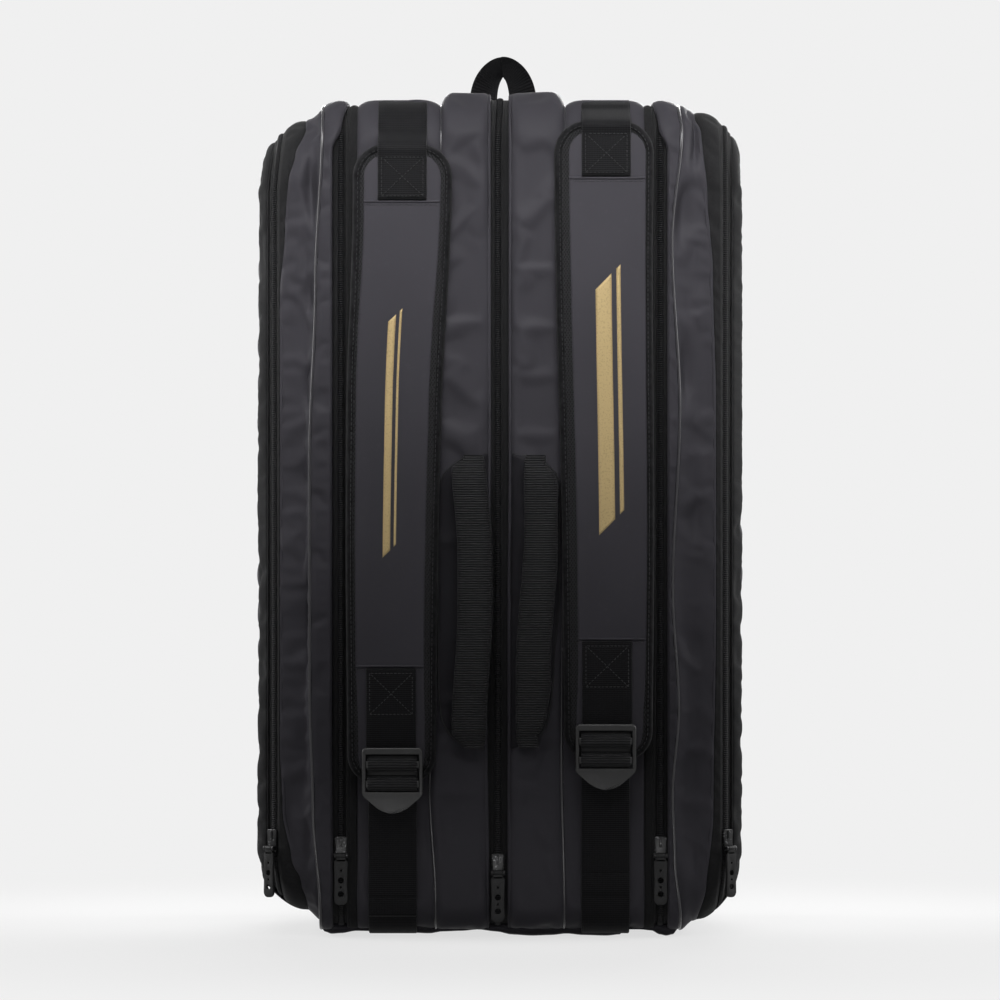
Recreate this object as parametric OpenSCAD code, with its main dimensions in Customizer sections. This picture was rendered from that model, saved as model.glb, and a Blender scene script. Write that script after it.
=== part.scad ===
// Racket tournament bag standing on its end: three racket compartments side by side,
// a zipped pocket on each flank, two shoulder straps, two carry grips and a haul loop.
// The origin is at the middle of the base, the zipped strap face looks to -Y, +Z is up.

/* [Main body] */
// Depth of the compartments from the strap face to the rear face
body_depth = 330; // [300:5:380]
// Height of the compartment seams above the floor
seam_top = 777; // [740:1:820]
// Height of the compartment seams above the floor at the bottom end
seam_bottom = 9; // [9:1:14]
// Thickness of the coated fabric with its foam and lining
wall_t = 3.5; // [2.5:0.5:5]
// Half width of the center compartment, at the inner piping
center_half = 58; // [54:1:64]
// Half width of the three compartments together, at the outer piping
main_half = 169.3; // [165:0.1:175]
// Roundness of the edge between the strap face and the top
front_top_r = 40; // [34:1:50]
// Roundness of the edge between the strap face and the base
front_base_r = 25; // [20:1:32]
// Roundness of the edge between the rear face and the top
rear_top_r = 90; // [60:1:110]
// Roundness of the edge between the rear face and the base
rear_base_r = 40; // [25:1:60]
// Height that a center panel bulges between its seams
center_crown = 9; // [5:0.5:9]
// Height that a panel under a shoulder strap bulges between its seams
strap_panel_crown = 6; // [3:0.5:7]
// Height that the narrow strip beside the inner zip bulges
strip_crown = 1.5; // [1:0.5:2.5]
// Height that a rear panel bulges between its seams
rear_crown = 8; // [4:0.5:9]
// Thickness of the walls between the compartments
divider_t = 2; // [1.5:0.5:3]
// Thickness of the moulded base
base_t = 9; // [6:1:9]
// Thickness of the stiff board that lies inside on the base
board_t = 3; // [2:0.5:3]

/* [Flank pockets] */
// Distance that a flank pocket reaches out past the outer piping
pocket_w = 56.7; // [51:0.1:68]
// Height of the pocket's top
pocket_top = 764; // [740:1:772]
// Height of the pocket's underside
pocket_bottom = 20; // [14:1:40]
// Depth of a pocket from its front edge to its rear edge
pocket_depth = 316; // [290:2:326]
// Radius of the round outer edge of a pocket
pocket_edge_r = 44; // [38:1:46]
// Roundness of the pocket's front top corner
pocket_top_r = 62; // [54:1:80]
// Roundness of the pocket's rear top corner
pocket_rear_r = 86; // [60:1:100]
// Roundness of the pocket's lower corners
pocket_base_r = 52; // [51:1:60]
// Distance between the sewn channels of a flank panel
quilt_pitch = 36; // [28:1:44]
// Height that a quilted channel stands proud
quilt_rise = 2.5; // [1.5:0.5:3]
// Thickness of the flank panel without its channels
flank_t = 4; // [3:0.5:5]

/* [Zips] */
// Distance from the outer piping in to the inner zip
zip_inset = 19.3; // [18.3:0.1:19.8]
// Width of the zip tape that shows at a side or pocket zip
tape_w = 16; // [14:1:18]
// Width of the zip tape that shows at the center zip
center_tape_w = 22; // [20:1:26]
// Thickness of the zip tape
tape_t = 1.2; // [1:0.1:1.6]
// Depth of the tape below the seam line
tape_sink = 2.8; // [2:0.1:3.4]
// Width of the closed coil
coil_w = 6; // [5:0.5:7]
// Height of the coil above its tape
coil_h = 2; // [1.5:0.1:2.4]
// Angle round the pocket's edge at which the pocket zip lies
pocket_zip_angle = 45; // [40:1:50]
// Height of the center slider when the bag is closed
center_slider_z = 66; // [60:1:90]
// Height of the inner sliders when the bag is closed
inner_slider_z = 82; // [70:1:100]
// Height of the pocket sliders when the pockets are closed
pocket_slider_z = 88; // [86:1:110]
// Length of a slider
slider_l = 24; // [20:1:28]
// Width of a slider
slider_w = 12; // [11:0.5:12]
// Thickness of the slider's upper plate above the coil
slider_plate = 1.6; // [1.2:0.1:2]
// Radius of the pin that carries the pull tab
pin_r = 1.2; // [1:0.1:1.4]
// Length of a pull tab below its pin
pull_l = 46; // [38:1:48]
// Thickness of a pull tab
pull_t = 2.4; // [2:0.1:3]
// Radius of the finger hole in a pull tab
pull_hole_r = 2.8; // [2:0.1:3.4]
// Running clearance of the sliders and pins
run_gap = 0.35; // [0.3:0.05:0.5]

/* [Piping] */
// Radius of the piping between the compartments
inner_piping_r = 2; // [1.5:0.1:2.2]
// Radius of the piping at the pockets
outer_piping_r = 2.4; // [1.8:0.1:3]

/* [Shoulder straps] */
// Clearance between a strap pad and the inner slider beside it
pad_zip_gap = 1; // [1:0.5:3]
// Clearance between a strap pad and the carry grip beside it
pad_grip_gap = 3.5; // [3:0.5:6]
// Width of a strap pad near its lower end
pad_low_w = 81; // [70:1:84]
// Thickness of a strap pad
pad_t = 10; // [8:1:14]
// Distance from the panel's bulge to the back of the pad
pad_clear = 0.5; // [0.3:0.1:3]
// Height of the right pad's arched top
pad_top = 762; // [750:1:764]
// Length of a pad from its arched top to its lower end
pad_l = 595; // [560:5:600]
// Distance that the left strap hangs lower than the right one
strap_drop = 22; // [0:1:24]
// Distance from the pad's top down to the seam of its coated face
face_offset = 53; // [46:1:60]
// Length of the coated face
face_l = 433; // [400:1:440]
// Width of the coated face at its top
face_w = 73; // [66:1:76]
// Width of the coated face at its lower end
face_low_w = 62; // [56:1:66]
// Thickness of the coated face
face_t = 1.6; // [1.2:0.2:2]
// Width of the upper webbing
upper_web_w = 45; // [38:1:48]
// Width of the lower webbing
lower_web_w = 44; // [38:1:46]
// Thickness of the webbing
web_t = 1.8; // [1.4:0.1:2]
// Length of webbing sewn to the top of the bag
anchor_l = 45; // [30:1:70]
// Angle round the base edge, from straight down, at which the lower webbing is sewn in
tail_end_angle = 22; // [10:1:40]

/* [Ladder lock buckles] */
// Width of a buckle
buckle_w = 56; // [54:1:60]
// Height of a buckle
buckle_h = 61; // [56:1:66]
// Thickness of a buckle
buckle_t = 5; // [4:0.5:6]
// Radius of the buckle's top bar
bar_r = 2.6; // [2.2:0.1:3]
// Width of a buckle's side arm
arm_w = 3.5; // [3:0.5:4.5]
// Distance from the pad's top down to the buckle's top bar
bar_offset = 564.5; // [555:0.5:570]

/* [Carry grips] */
// Distance from the middle of the bag to the middle of a grip
grip_x = 31; // [30:0.5:32]
// Width of a grip
grip_w = 33; // [28:1:33]
// Thickness of a grip
grip_t = 12; // [10:1:13]
// Height of the lower end of the grips
grip_bottom = 183; // [170:1:200]
// Length of a grip
grip_l = 268; // [240:1:290]
// Thickness of the reinforcing patch behind a grip
patch_t = 1.2; // [1:0.1:1.4]
// Distance that a patch reaches past its grip at each end
patch_margin = 6; // [4:1:12]
// Roundness of a patch's outer corners
patch_r = 20; // [12:1:30]

/* [Haul loop] */
// Sideways place of the haul loop
loop_x = 3; // [0:0.5:6]
// Distance of the loop behind the middle of the top
loop_y = 14; // [0:1:40]
// Width of the loop over both legs
loop_w = 63; // [56:1:70]
// Width of the gap between the legs
loop_gap_w = 14; // [10:1:20]
// Height of the loop above its hinge line
loop_h = 46; // [40:1:50]
// Height of the gap in the loop
loop_gap_h = 26; // [20:1:30]
// Thickness of a leg at its sewn foot
loop_foot_t = 2.4; // [2:0.1:3]

/* [Hidden] */
$fn = 96;

left = -1;
right = 1;
seam_gap = 0.1;
front_y = -body_depth / 2;
rear_y = body_depth / 2;
pocket_front_y = -pocket_depth / 2;
// Each outline is [front y, rear y, bottom z, top z, front top r, rear top r, rear base r, front base r]
main_outline = [front_y, rear_y, seam_bottom, seam_top, front_top_r, rear_top_r, rear_base_r, front_base_r];
pocket_outline = [
    pocket_front_y, -pocket_front_y, pocket_bottom, pocket_top,
    pocket_top_r, pocket_rear_r, pocket_base_r, pocket_base_r
];
front_run = ["front_base", "front", "front_top", "top"];
rear_run = ["rear_top", "rear", "rear_base"];

center_edge = center_half - divider_t / 2 - seam_gap;
strap_edge = center_half + divider_t / 2 + seam_gap;
wall_in = main_half - divider_t / 2 - seam_gap;
wall_out = main_half + divider_t / 2 + seam_gap;
center_tape_half = center_tape_w / 2;
inner_zip_x = main_half - zip_inset;
inner_tape_in = inner_zip_x - tape_w / 2;
inner_tape_out = inner_zip_x + tape_w / 2;
pocket_half = main_half + pocket_w;
pocket_edge_x = pocket_half - pocket_edge_r;
tape_half_angle = tape_w / 2 / pocket_edge_r * 180 / PI;
coil_top = coil_h - tape_sink;

slider_top = coil_top + run_gap + slider_plate;
eye_r = pin_r + run_gap + 0.9;
pin_v = slider_top + run_gap + eye_r;
pin_drop = 5;
cheek_t = 1.6;
eye_half = slider_w / 2 - cheek_t - run_gap;
pull_w = slider_w;

center_panel_w = center_edge - center_tape_half;
center_panel_u = (center_edge + center_tape_half) / 2;
center_r = crown_radius(center_panel_w, center_crown);
pad_in = grip_x + grip_w / 2 + pad_grip_gap;
pad_out = inner_zip_x - slider_w / 2 - pad_zip_gap;
pad_w = pad_out - pad_in;
strap_x = (pad_in + pad_out) / 2;
pad_front = strap_panel_crown + pad_clear + pad_t;
bar_v = pad_front + web_t + run_gap + bar_r + 0.2;
ring_in = bar_r + run_gap;
web_v = strap_panel_crown + 0.2;
hinge_rise = 12;
hinge_gap = 0.5;
hinge_r = front_top_r + web_v + web_t / 2;
rest_gap = 0.3;
grip_v = center_crown + seam_gap + patch_t + rest_gap;
loop_foot_z = seam_top + center_crown + rest_gap + loop_foot_t / 2;

function crown_radius(w, c) = (w * w / 4 + c * c) / (2 * c);
function strap_top(side) = pad_top - (side == left ? strap_drop : 0);
function hinge_z(side) = strap_top(side) + hinge_rise;
function hinge_angle(side) = asin((hinge_z(side) - seam_top + front_top_r) / hinge_r);
function hinge_y(side) = front_y + front_top_r - hinge_r * cos(hinge_angle(side));

// ---------- shared shapes ----------

module on_side(side) {
    if (side == left) mirror([1, 0, 0]) children();
    else children();
}

// A straight stretch of a swept section: section x is outward, section y is along X
module run(turn, start_y, start_z, length) {
    translate([0, start_y, start_z])
        rotate([-90 * turn, 0, 0])
            rotate([0, 0, -90])
                linear_extrude(length) children();
}

// A quarter turn of a swept section about a corner's center
module bend(turn, center_y, center_z, radius) {
    translate([0, center_y, center_z])
        rotate([-90 * turn, 0, 0])
            rotate([180, 0, 0])
                rotate([0, 90, 0])
                    rotate_extrude(angle = 90) translate([radius, 0]) children();
}

// Sweeps a section round the named stretches of an outline
module sweep(o, stretches) {
    for (s = stretches) {
        if (s == "front") run(0, o[0], o[2] + o[7], o[3] - o[2] - o[4] - o[7]) children();
        if (s == "front_top") bend(0, o[0] + o[4], o[3] - o[4], o[4]) children();
        if (s == "top") run(1, o[0] + o[4], o[3], o[1] - o[0] - o[4] - o[5]) children();
        if (s == "rear_top") bend(1, o[1] - o[5], o[3] - o[5], o[5]) children();
        if (s == "rear") run(2, o[1], o[3] - o[5], o[3] - o[2] - o[5] - o[6]) children();
        if (s == "rear_base") bend(2, o[1] - o[6], o[2] + o[6], o[6]) children();
        if (s == "base") run(3, o[1] - o[6], o[2], o[1] - o[0] - o[6] - o[7]) children();
        if (s == "front_base") bend(3, o[0] + o[7], o[2] + o[7], o[7]) children();
    }
}

// An outline as a flat shape in Y and Z, drawn in by inset
module outline_shape(o, inset) {
    y0 = o[0] + inset;
    y1 = o[1] - inset;
    z0 = o[2] + inset;
    z1 = o[3] - inset;
    corner = [for (i = [4:7]) o[i] - inset];
    polygon([
        [y0, z0 + corner[3]], [y0 + corner[3], z0 + corner[3]], [y0 + corner[3], z0],
        [y1 - corner[2], z0], [y1 - corner[2], z0 + corner[2]], [y1, z0 + corner[2]],
        [y1, z1 - corner[1]], [y1 - corner[1], z1 - corner[1]], [y1 - corner[1], z1],
        [y0 + corner[0], z1], [y0 + corner[0], z1 - corner[0]], [y0, z1 - corner[0]]
    ]);
    translate([y0 + corner[0], z1 - corner[0]]) circle(corner[0]);
    translate([y1 - corner[1], z1 - corner[1]]) circle(corner[1]);
    translate([y1 - corner[2], z0 + corner[2]]) circle(corner[2]);
    translate([y0 + corner[3], z0 + corner[3]]) circle(corner[3]);
}

// Extrudes a Y-Z shape along X from x0
module slab_x(x0, thickness) {
    translate([x0, 0, 0]) rotate([90, 0, 90]) linear_extrude(thickness) children();
}

// Extrudes an X-Z shape along Y from y0 towards +Y
module slab_y(y0, thickness) {
    translate([0, y0 + thickness, 0]) rotate([90, 0, 0]) linear_extrude(thickness) children();
}

// Section of a bulging wall between u0 and u1
module crowned(u0, u1, crown, thickness) {
    radius = crown_radius(u1 - u0, crown);
    intersection() {
        translate([crown - radius, (u0 + u1) / 2]) difference() {
            circle(radius, $fn = 180);
            circle(radius - thickness, $fn = 180);
        }
        translate([-thickness * 2, u0]) square([crown + thickness * 3, u1 - u0]);
    }
}

// Section of the pocket's round edge between two angles from the front
module edge_arc(a0, a1, outer, thickness) {
    reach = outer * 3;
    translate([-pocket_edge_r, pocket_edge_x]) intersection() {
        difference() {
            circle(outer);
            circle(outer - thickness);
        }
        polygon([[0, 0], [reach * cos(a0), reach * sin(a0)], [reach * cos(a1), reach * sin(a1)]]);
    }
}

// An X-Z shape with round corners, x from -w / 2 to w / 2
module rounded_plate(w, z0, z1, r) {
    translate([-w / 2 + r, z0]) square([w - 2 * r, z1 - z0]);
    translate([-w / 2, z0 + r]) square([w, z1 - z0 - 2 * r]);
    for (x = [-w / 2 + r, w / 2 - r], z = [z0 + r, z1 - r]) translate([x, z]) circle(r);
}

// ---------- compartments ----------

module center_panel(side) {
    color([0.19, 0.19, 0.2]) on_side(side)
        sweep(main_outline, front_run) crowned(center_tape_half, center_edge, center_crown, wall_t);
}

module strap_panel(side) {
    color([0.18, 0.18, 0.19]) on_side(side)
        sweep(main_outline, front_run) crowned(strap_edge, inner_tape_in, strap_panel_crown, wall_t);
}

module side_strip(side) {
    color([0.2, 0.2, 0.21]) on_side(side)
        sweep(main_outline, front_run) crowned(inner_tape_out, wall_in, strip_crown, wall_t);
}

module rear_panel_center() {
    color([0.19, 0.19, 0.2])
        sweep(main_outline, rear_run) crowned(-center_edge, center_edge, rear_crown, wall_t);
}

module rear_panel(side) {
    color([0.19, 0.19, 0.2]) on_side(side)
        sweep(main_outline, rear_run) crowned(strap_edge, wall_in, rear_crown, wall_t);
}

module base_panel() {
    color([0.1, 0.1, 0.1])
        translate([-wall_in, front_y + front_base_r, 0])
            cube([2 * wall_in, body_depth - front_base_r - rear_base_r, base_t]);
}

module base_board() {
    margin = 4;
    rooms = [[-wall_in, -strap_edge], [-center_edge, center_edge], [strap_edge, wall_in]];
    color([0.3, 0.28, 0.25]) for (room = rooms)
        translate([room[0] + margin, front_y + front_base_r + margin, base_t])
            cube([
                room[1] - room[0] - 2 * margin,
                body_depth - front_base_r - rear_base_r - 2 * margin,
                board_t
            ]);
}

module divider(side) {
    color([0.12, 0.12, 0.13]) on_side(side)
        slab_x(center_half - divider_t / 2, divider_t) outline_shape(main_outline, 0);
}

module pocket_wall(side) {
    color([0.12, 0.12, 0.13]) on_side(side)
        slab_x(main_half - divider_t / 2, divider_t) outline_shape(main_outline, 0);
}

// ---------- flank pockets ----------

module pocket_front(side) {
    color([0.2, 0.2, 0.21]) on_side(side) sweep(pocket_outline, front_run) {
        union() {
            translate([-wall_t, wall_out]) square([wall_t, pocket_edge_x - wall_out]);
            edge_arc(0, pocket_zip_angle - tape_half_angle, pocket_edge_r, wall_t);
        }
    }
}

module pocket_gusset(side) {
    color([0.1, 0.1, 0.11]) on_side(side) sweep(pocket_outline, front_run)
        edge_arc(pocket_zip_angle + tape_half_angle, 90, pocket_edge_r, wall_t);
}

module pocket_rear(side) {
    color([0.19, 0.19, 0.2]) on_side(side) sweep(pocket_outline, concat(rear_run, ["base"])) {
        union() {
            translate([-wall_t, wall_out]) square([wall_t, pocket_edge_x - wall_out]);
            edge_arc(0, 90, pocket_edge_r, wall_t);
        }
    }
}

module flank_panel(side) {
    outer = pocket_half - quilt_rise;
    channel_r = crown_radius(quilt_pitch, quilt_rise);
    first = pocket_bottom + pocket_edge_r;
    count = floor((pocket_top - pocket_bottom - 2 * pocket_edge_r) / quilt_pitch);
    start = (pocket_top + pocket_bottom) / 2 - (count - 1) / 2 * quilt_pitch;
    color([0.17, 0.17, 0.18]) on_side(side) intersection() {
        slab_x(outer - flank_t, flank_t + 2 * quilt_rise)
            outline_shape(pocket_outline, pocket_edge_r + seam_gap);
        union() {
            translate([outer - flank_t, pocket_front_y, first])
                cube([flank_t, pocket_depth, pocket_top - pocket_bottom - 2 * pocket_edge_r]);
            for (i = [0:count - 1]) slab_y(pocket_front_y, pocket_depth) intersection() {
                translate([pocket_half - channel_r, start + i * quilt_pitch]) circle(channel_r, $fn = 180);
                translate([outer - flank_t / 2, start + (i - 0.5) * quilt_pitch])
                    square([flank_t, quilt_pitch]);
            }
        }
    }
}

// ---------- piping ----------

module piping(side, x, r) {
    color([0.08, 0.08, 0.08]) on_side(side)
        sweep(main_outline, concat(front_run, rear_run)) translate([r, x]) circle(r, $fn = 24);
}

// ---------- zips ----------

// Section of a closed coil on its tape, standing on the tape's face
module coil_section(grow) {
    radius = crown_radius(coil_w + 2 * grow, coil_h + grow);
    intersection() {
        translate([coil_top + grow - radius, 0]) circle(radius);
        translate([-tape_sink - tape_t / 2, -coil_w]) square([coil_h + tape_t + 2 * grow, 2 * coil_w]);
    }
}

module zip_section(x, width) {
    translate([-tape_sink - tape_t, x - width / 2]) square([tape_t, width]);
    translate([0, x]) coil_section(0);
}

module center_zip() {
    color([0.06, 0.06, 0.06]) sweep(main_outline, front_run) zip_section(0, center_tape_w);
}

module inner_zip(side) {
    color([0.06, 0.06, 0.06]) on_side(side)
        sweep(main_outline, front_run) zip_section(inner_zip_x, tape_w);
}

module pocket_zip(side) {
    color([0.06, 0.06, 0.06]) on_side(side) sweep(pocket_outline, front_run) {
        union() {
            edge_arc(
                pocket_zip_angle - tape_half_angle, pocket_zip_angle + tape_half_angle,
                pocket_edge_r - tape_sink, tape_t
            );
            translate([-pocket_edge_r, pocket_edge_x])
                rotate(pocket_zip_angle) translate([pocket_edge_r, 0]) coil_section(0);
        }
    }
}

// The slider round the coil, with two cheeks that hold the pin; its place is the seam line
module slider() {
    color([0.25, 0.25, 0.26]) {
        translate([0, 0, -slider_l / 2]) rotate([0, 0, -90]) linear_extrude(slider_l) difference() {
            translate([run_gap - tape_sink, -slider_w / 2])
                square([slider_top + tape_sink - run_gap, slider_w]);
            coil_section(run_gap);
        }
        for (x = [-slider_w / 2, slider_w / 2 - cheek_t]) {
            slab_x(x, cheek_t) union() {
                translate([-pin_v, -pin_drop]) circle(eye_r, $fn = 48);
                translate([-pin_v, -pin_drop - eye_r]) square([pin_v - slider_top + 0.4, 2 * eye_r]);
            }
        }
        translate([-slider_w / 2, -pin_v, -pin_drop]) rotate([0, 90, 0]) cylinder(h = slider_w, r = pin_r, $fn = 48);
    }
}

// The pull tab hangs from the slider's pin
module pull() {
    tip_r = pull_w / 2;
    color([0.07, 0.07, 0.07]) difference() {
        union() {
            translate([-eye_half, -pin_v, -pin_drop]) rotate([0, 90, 0]) cylinder(h = 2 * eye_half, r = eye_r, $fn = 48);
            slab_y(-pin_v - pull_t / 2, pull_t) union() {
                translate([-eye_half, -pin_drop - 2 * eye_r]) square([2 * eye_half, 2 * eye_r]);
                translate([-pull_w / 2, -pin_drop - pull_l + tip_r]) square([pull_w, pull_l - tip_r - 1.6 * eye_r]);
                translate([0, -pin_drop - pull_l + tip_r]) circle(tip_r);
            }
        }
        translate([-slider_w, -pin_v, -pin_drop]) rotate([0, 90, 0]) cylinder(h = 2 * slider_w, r = pin_r + run_gap, $fn = 48);
        slab_y(-pin_v - pull_t, 2 * pull_t) {
            translate([0, -pin_drop - pull_l * 0.5]) circle(pull_hole_r);
            translate([0, -pin_drop - pull_l * 0.78]) circle(pull_hole_r);
            for (z = [0.3, 0.64]) translate([0, -pin_drop - pull_l * z]) circle(pull_hole_r * 0.4);
        }
    }
}

// Puts a slider or pull at an inner or center zip
module at_main_zip(x, z) {
    translate([x, front_y, z]) children();
}

// Puts a slider or pull at a pocket zip
module at_pocket_zip(side) {
    on_side(side)
        translate([pocket_edge_x, pocket_front_y + pocket_edge_r, pocket_slider_z])
            rotate([0, 0, pocket_zip_angle])
                translate([0, -pocket_edge_r, 0]) children();
}

// ---------- carry grips ----------

module grip_patches() {
    z0 = grip_bottom - patch_margin;
    z1 = grip_bottom + grip_l + patch_margin;
    patch_in = center_tape_half + 1;
    patch_out = center_edge - 1;
    color([0.16, 0.16, 0.17]) for (side = [left, right]) on_side(side) intersection() {
        translate([0, front_y, z0]) rotate([0, 0, -90]) linear_extrude(z1 - z0)
            translate([center_crown - center_r, center_panel_u]) difference() {
                circle(center_r + 0.1 + patch_t, $fn = 180);
                circle(center_r + 0.1, $fn = 180);
            }
        slab_y(front_y - center_crown - 2 * patch_t, 3 * center_crown) union() {
            translate([patch_in, z0]) square([patch_out - patch_in - patch_r, z1 - z0]);
            translate([patch_in, z0 + patch_r]) square([patch_out - patch_in, z1 - z0 - 2 * patch_r]);
            for (z = [z0 + patch_r, z1 - patch_r]) translate([patch_out - patch_r, z]) circle(patch_r);
        }
    }
}

module grip(side) {
    end_r = grip_w / 2;
    color([0.05, 0.05, 0.05]) on_side(side) intersection() {
        translate([grip_x, front_y - grip_v - grip_t / 2, grip_bottom]) linear_extrude(grip_l) union() {
            square([grip_w - grip_t, grip_t], center = true);
            for (x = [-1, 1]) translate([x * (grip_w - grip_t) / 2, 0]) circle(grip_t / 2);
        }
        slab_y(front_y - grip_v - grip_t - 1, grip_t + 2) translate([grip_x, 0])
            rounded_plate(grip_w, grip_bottom, grip_bottom + grip_l, end_r * 0.8);
    }
}

// ---------- haul loop ----------

module haul_loop() {
    top_r = loop_w / 2;
    color([0.06, 0.06, 0.06]) translate([loop_x, loop_y, loop_foot_z]) {
        intersection() {
            slab_y(-loop_h, 2 * loop_h) difference() {
                intersection() {
                    translate([0, loop_h - top_r]) circle(top_r);
                    translate([-loop_w, 0]) square([2 * loop_w, loop_h]);
                }
                translate([-loop_gap_w / 2, -1]) square([loop_gap_w, loop_gap_h - loop_gap_w / 2 + 1]);
                translate([0, loop_gap_h - loop_gap_w / 2]) circle(loop_gap_w / 2);
            }
            slab_x(-loop_w, 2 * loop_w) polygon([
                [-loop_foot_t / 2, 0], [loop_foot_t / 2, 0],
                [loop_foot_t / 2 + loop_h / 4, loop_h], [-loop_foot_t / 2 - loop_h / 4, loop_h]
            ]);
        }
        foot_w = loop_w / 2 - loop_gap_w / 2 - 1;
        for (x = [-loop_gap_w / 2 - foot_w, loop_gap_w / 2])
            translate([x, 0, 0]) rotate([0, 90, 0]) cylinder(h = foot_w, r = loop_foot_t / 2, $fn = 24);
    }
}

// ---------- shoulder straps ----------

module strap_anchors() {
    reach = 3 * front_top_r;
    color([0.06, 0.06, 0.06]) for (side = [left, right]) on_side(side)
        slab_x(strap_x - upper_web_w / 2, upper_web_w) {
            translate([front_y + front_top_r, seam_top - front_top_r]) intersection() {
                difference() {
                    circle(front_top_r + web_v + web_t);
                    circle(front_top_r + web_v);
                }
                rotate(180 - hinge_angle(side))
                    translate([0, hinge_gap - reach]) square([reach, reach - 2 * hinge_gap]);
                translate([-reach, 0]) square([reach, reach]);
            }
            translate([front_y + front_top_r, seam_top + web_v]) square([anchor_l, web_t]);
        }
}

module pad_outline(side) {
    top = strap_top(side);
    arch_r = 30;
    foot_r = 26;
    hull() for (x = [-1, 1]) {
        translate([x * (pad_w / 2 - arch_r), top - arch_r]) circle(arch_r);
        translate([x * (pad_low_w / 2 - foot_r), top - pad_l + foot_r]) circle(foot_r);
    }
}

module strap_pad(side) {
    color([0.09, 0.09, 0.1]) on_side(side) translate([strap_x, 0, 0])
        slab_y(front_y - pad_front, pad_t) pad_outline(side);
}

module strap_face(side) {
    z1 = strap_top(side) - face_offset;
    color([0.22, 0.22, 0.23]) on_side(side) translate([strap_x, 0, 0])
        slab_y(front_y - pad_front - face_t, face_t) polygon([
            [-face_w / 2, z1], [face_w / 2, z1], [face_low_w / 2, z1 - face_l], [-face_low_w / 2, z1 - face_l]
        ]);
}

module upper_web(side) {
    top = strap_top(side);
    y_in = front_y - pad_front;
    y_out = y_in - web_t;
    lean = atan2(hinge_z(side) - top - web_t, hinge_y(side) - y_out);
    start_y = hinge_y(side) - hinge_gap * cos(lean);
    start_z = hinge_z(side) - hinge_gap * sin(lean);
    half_y = web_t / 2 * sin(lean);
    half_z = web_t / 2 * cos(lean);
    color([0.06, 0.06, 0.06]) on_side(side) slab_x(strap_x - upper_web_w / 2, upper_web_w) polygon([
        [start_y - half_y, start_z + half_z], [y_out, top + web_t + 0.5], [y_out, top - face_offset + 0.3],
        [y_in, top - face_offset + 0.3], [y_in, top + 0.5], [start_y + half_y, start_z - half_z]
    ]);
}

module lower_web(side) {
    top = strap_top(side);
    patch_top = top - face_offset - face_l - 0.3;
    bar_z = top - bar_offset;
    color([0.06, 0.06, 0.06]) on_side(side) translate([strap_x, 0, 0]) {
        translate([-lower_web_w / 2, front_y - pad_front - web_t - 0.2, bar_z])
            cube([lower_web_w, web_t, patch_top - bar_z]);
        translate([-lower_web_w / 2, front_y - bar_v, bar_z]) rotate([0, 90, 0]) difference() {
            cylinder(h = lower_web_w, r = ring_in + web_t);
            translate([0, 0, -1]) cylinder(h = lower_web_w + 2, r = ring_in);
        }
    }
}

module buckle(side) {
    bar_z = strap_top(side) - bar_offset;
    head = 3.5;
    foot = bar_z + head - buckle_h;
    window_w = buckle_w - 2 * arm_w;
    cross_h = 5;
    window_h = 9.5;
    first_cross = bar_z - ring_in - web_t - 0.6;
    lip_top = first_cross - 2 * cross_h - 2 * window_h;
    lip_r = 12;
    color([0.05, 0.05, 0.05]) on_side(side) translate([strap_x, 0, 0]) {
        slab_y(front_y - bar_v - buckle_t / 2, buckle_t) {
            for (x = [-buckle_w / 2, buckle_w / 2 - arm_w])
                translate([x, lip_top]) square([arm_w, bar_z + head - lip_top]);
            for (i = [0, 1]) translate([-buckle_w / 2, first_cross - cross_h - i * (cross_h + window_h)])
                square([buckle_w, cross_h]);
            polygon([
                [-buckle_w / 2, lip_top], [buckle_w / 2, lip_top], [buckle_w / 2 - 4, foot + lip_r],
                [buckle_w / 2 - 4 - lip_r, foot], [-buckle_w / 2 + 4 + lip_r, foot], [-buckle_w / 2 + 4, foot + lip_r]
            ]);
        }
        translate([-window_w / 2 - 1, front_y - bar_v, bar_z]) rotate([0, 90, 0])
            cylinder(h = window_w + 2, r = bar_r);
    }
}

module strap_tail(side) {
    foot = strap_top(side) - bar_offset + 3.5 - buckle_h;
    top_z = foot + 18;
    low_z = seam_bottom + front_base_r;
    y_top = front_y - pad_front + 0.5;
    y_low = front_y - web_v;
    reach = 3 * front_base_r;
    color([0.06, 0.06, 0.06]) on_side(side) slab_x(strap_x - lower_web_w / 2, lower_web_w) {
        polygon([[y_top - web_t, top_z], [y_low - web_t, low_z], [y_low, low_z], [y_top, top_z]]);
        translate([front_y + front_base_r, low_z]) intersection() {
            difference() {
                circle(front_base_r + web_v + web_t);
                circle(front_base_r + web_v);
            }
            polygon([[0, 0.5], [-reach, 0.5], [-reach, -reach], [-reach * tan(tail_end_angle), -reach]]);
        }
    }
}

center_panel(left);  // center_panel_left
center_panel(right);  // center_panel_right
strap_panel(left);  // strap_panel_left
strap_panel(right);  // strap_panel_right
side_strip(left);  // side_strip_left
side_strip(right);  // side_strip_right
rear_panel_center();
rear_panel(left);  // rear_panel_left
rear_panel(right);  // rear_panel_right
base_panel();
base_board();
divider(left);  // divider_left
divider(right);  // divider_right
pocket_wall(left);  // pocket_wall_left
pocket_wall(right);  // pocket_wall_right
pocket_front(left);  // pocket_front_left
pocket_front(right);  // pocket_front_right
pocket_gusset(left);  // pocket_gusset_left
pocket_gusset(right);  // pocket_gusset_right
pocket_rear(left);  // pocket_rear_left
pocket_rear(right);  // pocket_rear_right
flank_panel(left);  // flank_panel_left
flank_panel(right);  // flank_panel_right
piping(left, center_half, inner_piping_r);  // inner_piping_left
piping(right, center_half, inner_piping_r);  // inner_piping_right
piping(left, main_half, outer_piping_r);  // outer_piping_left
piping(right, main_half, outer_piping_r);  // outer_piping_right
center_zip();
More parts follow.
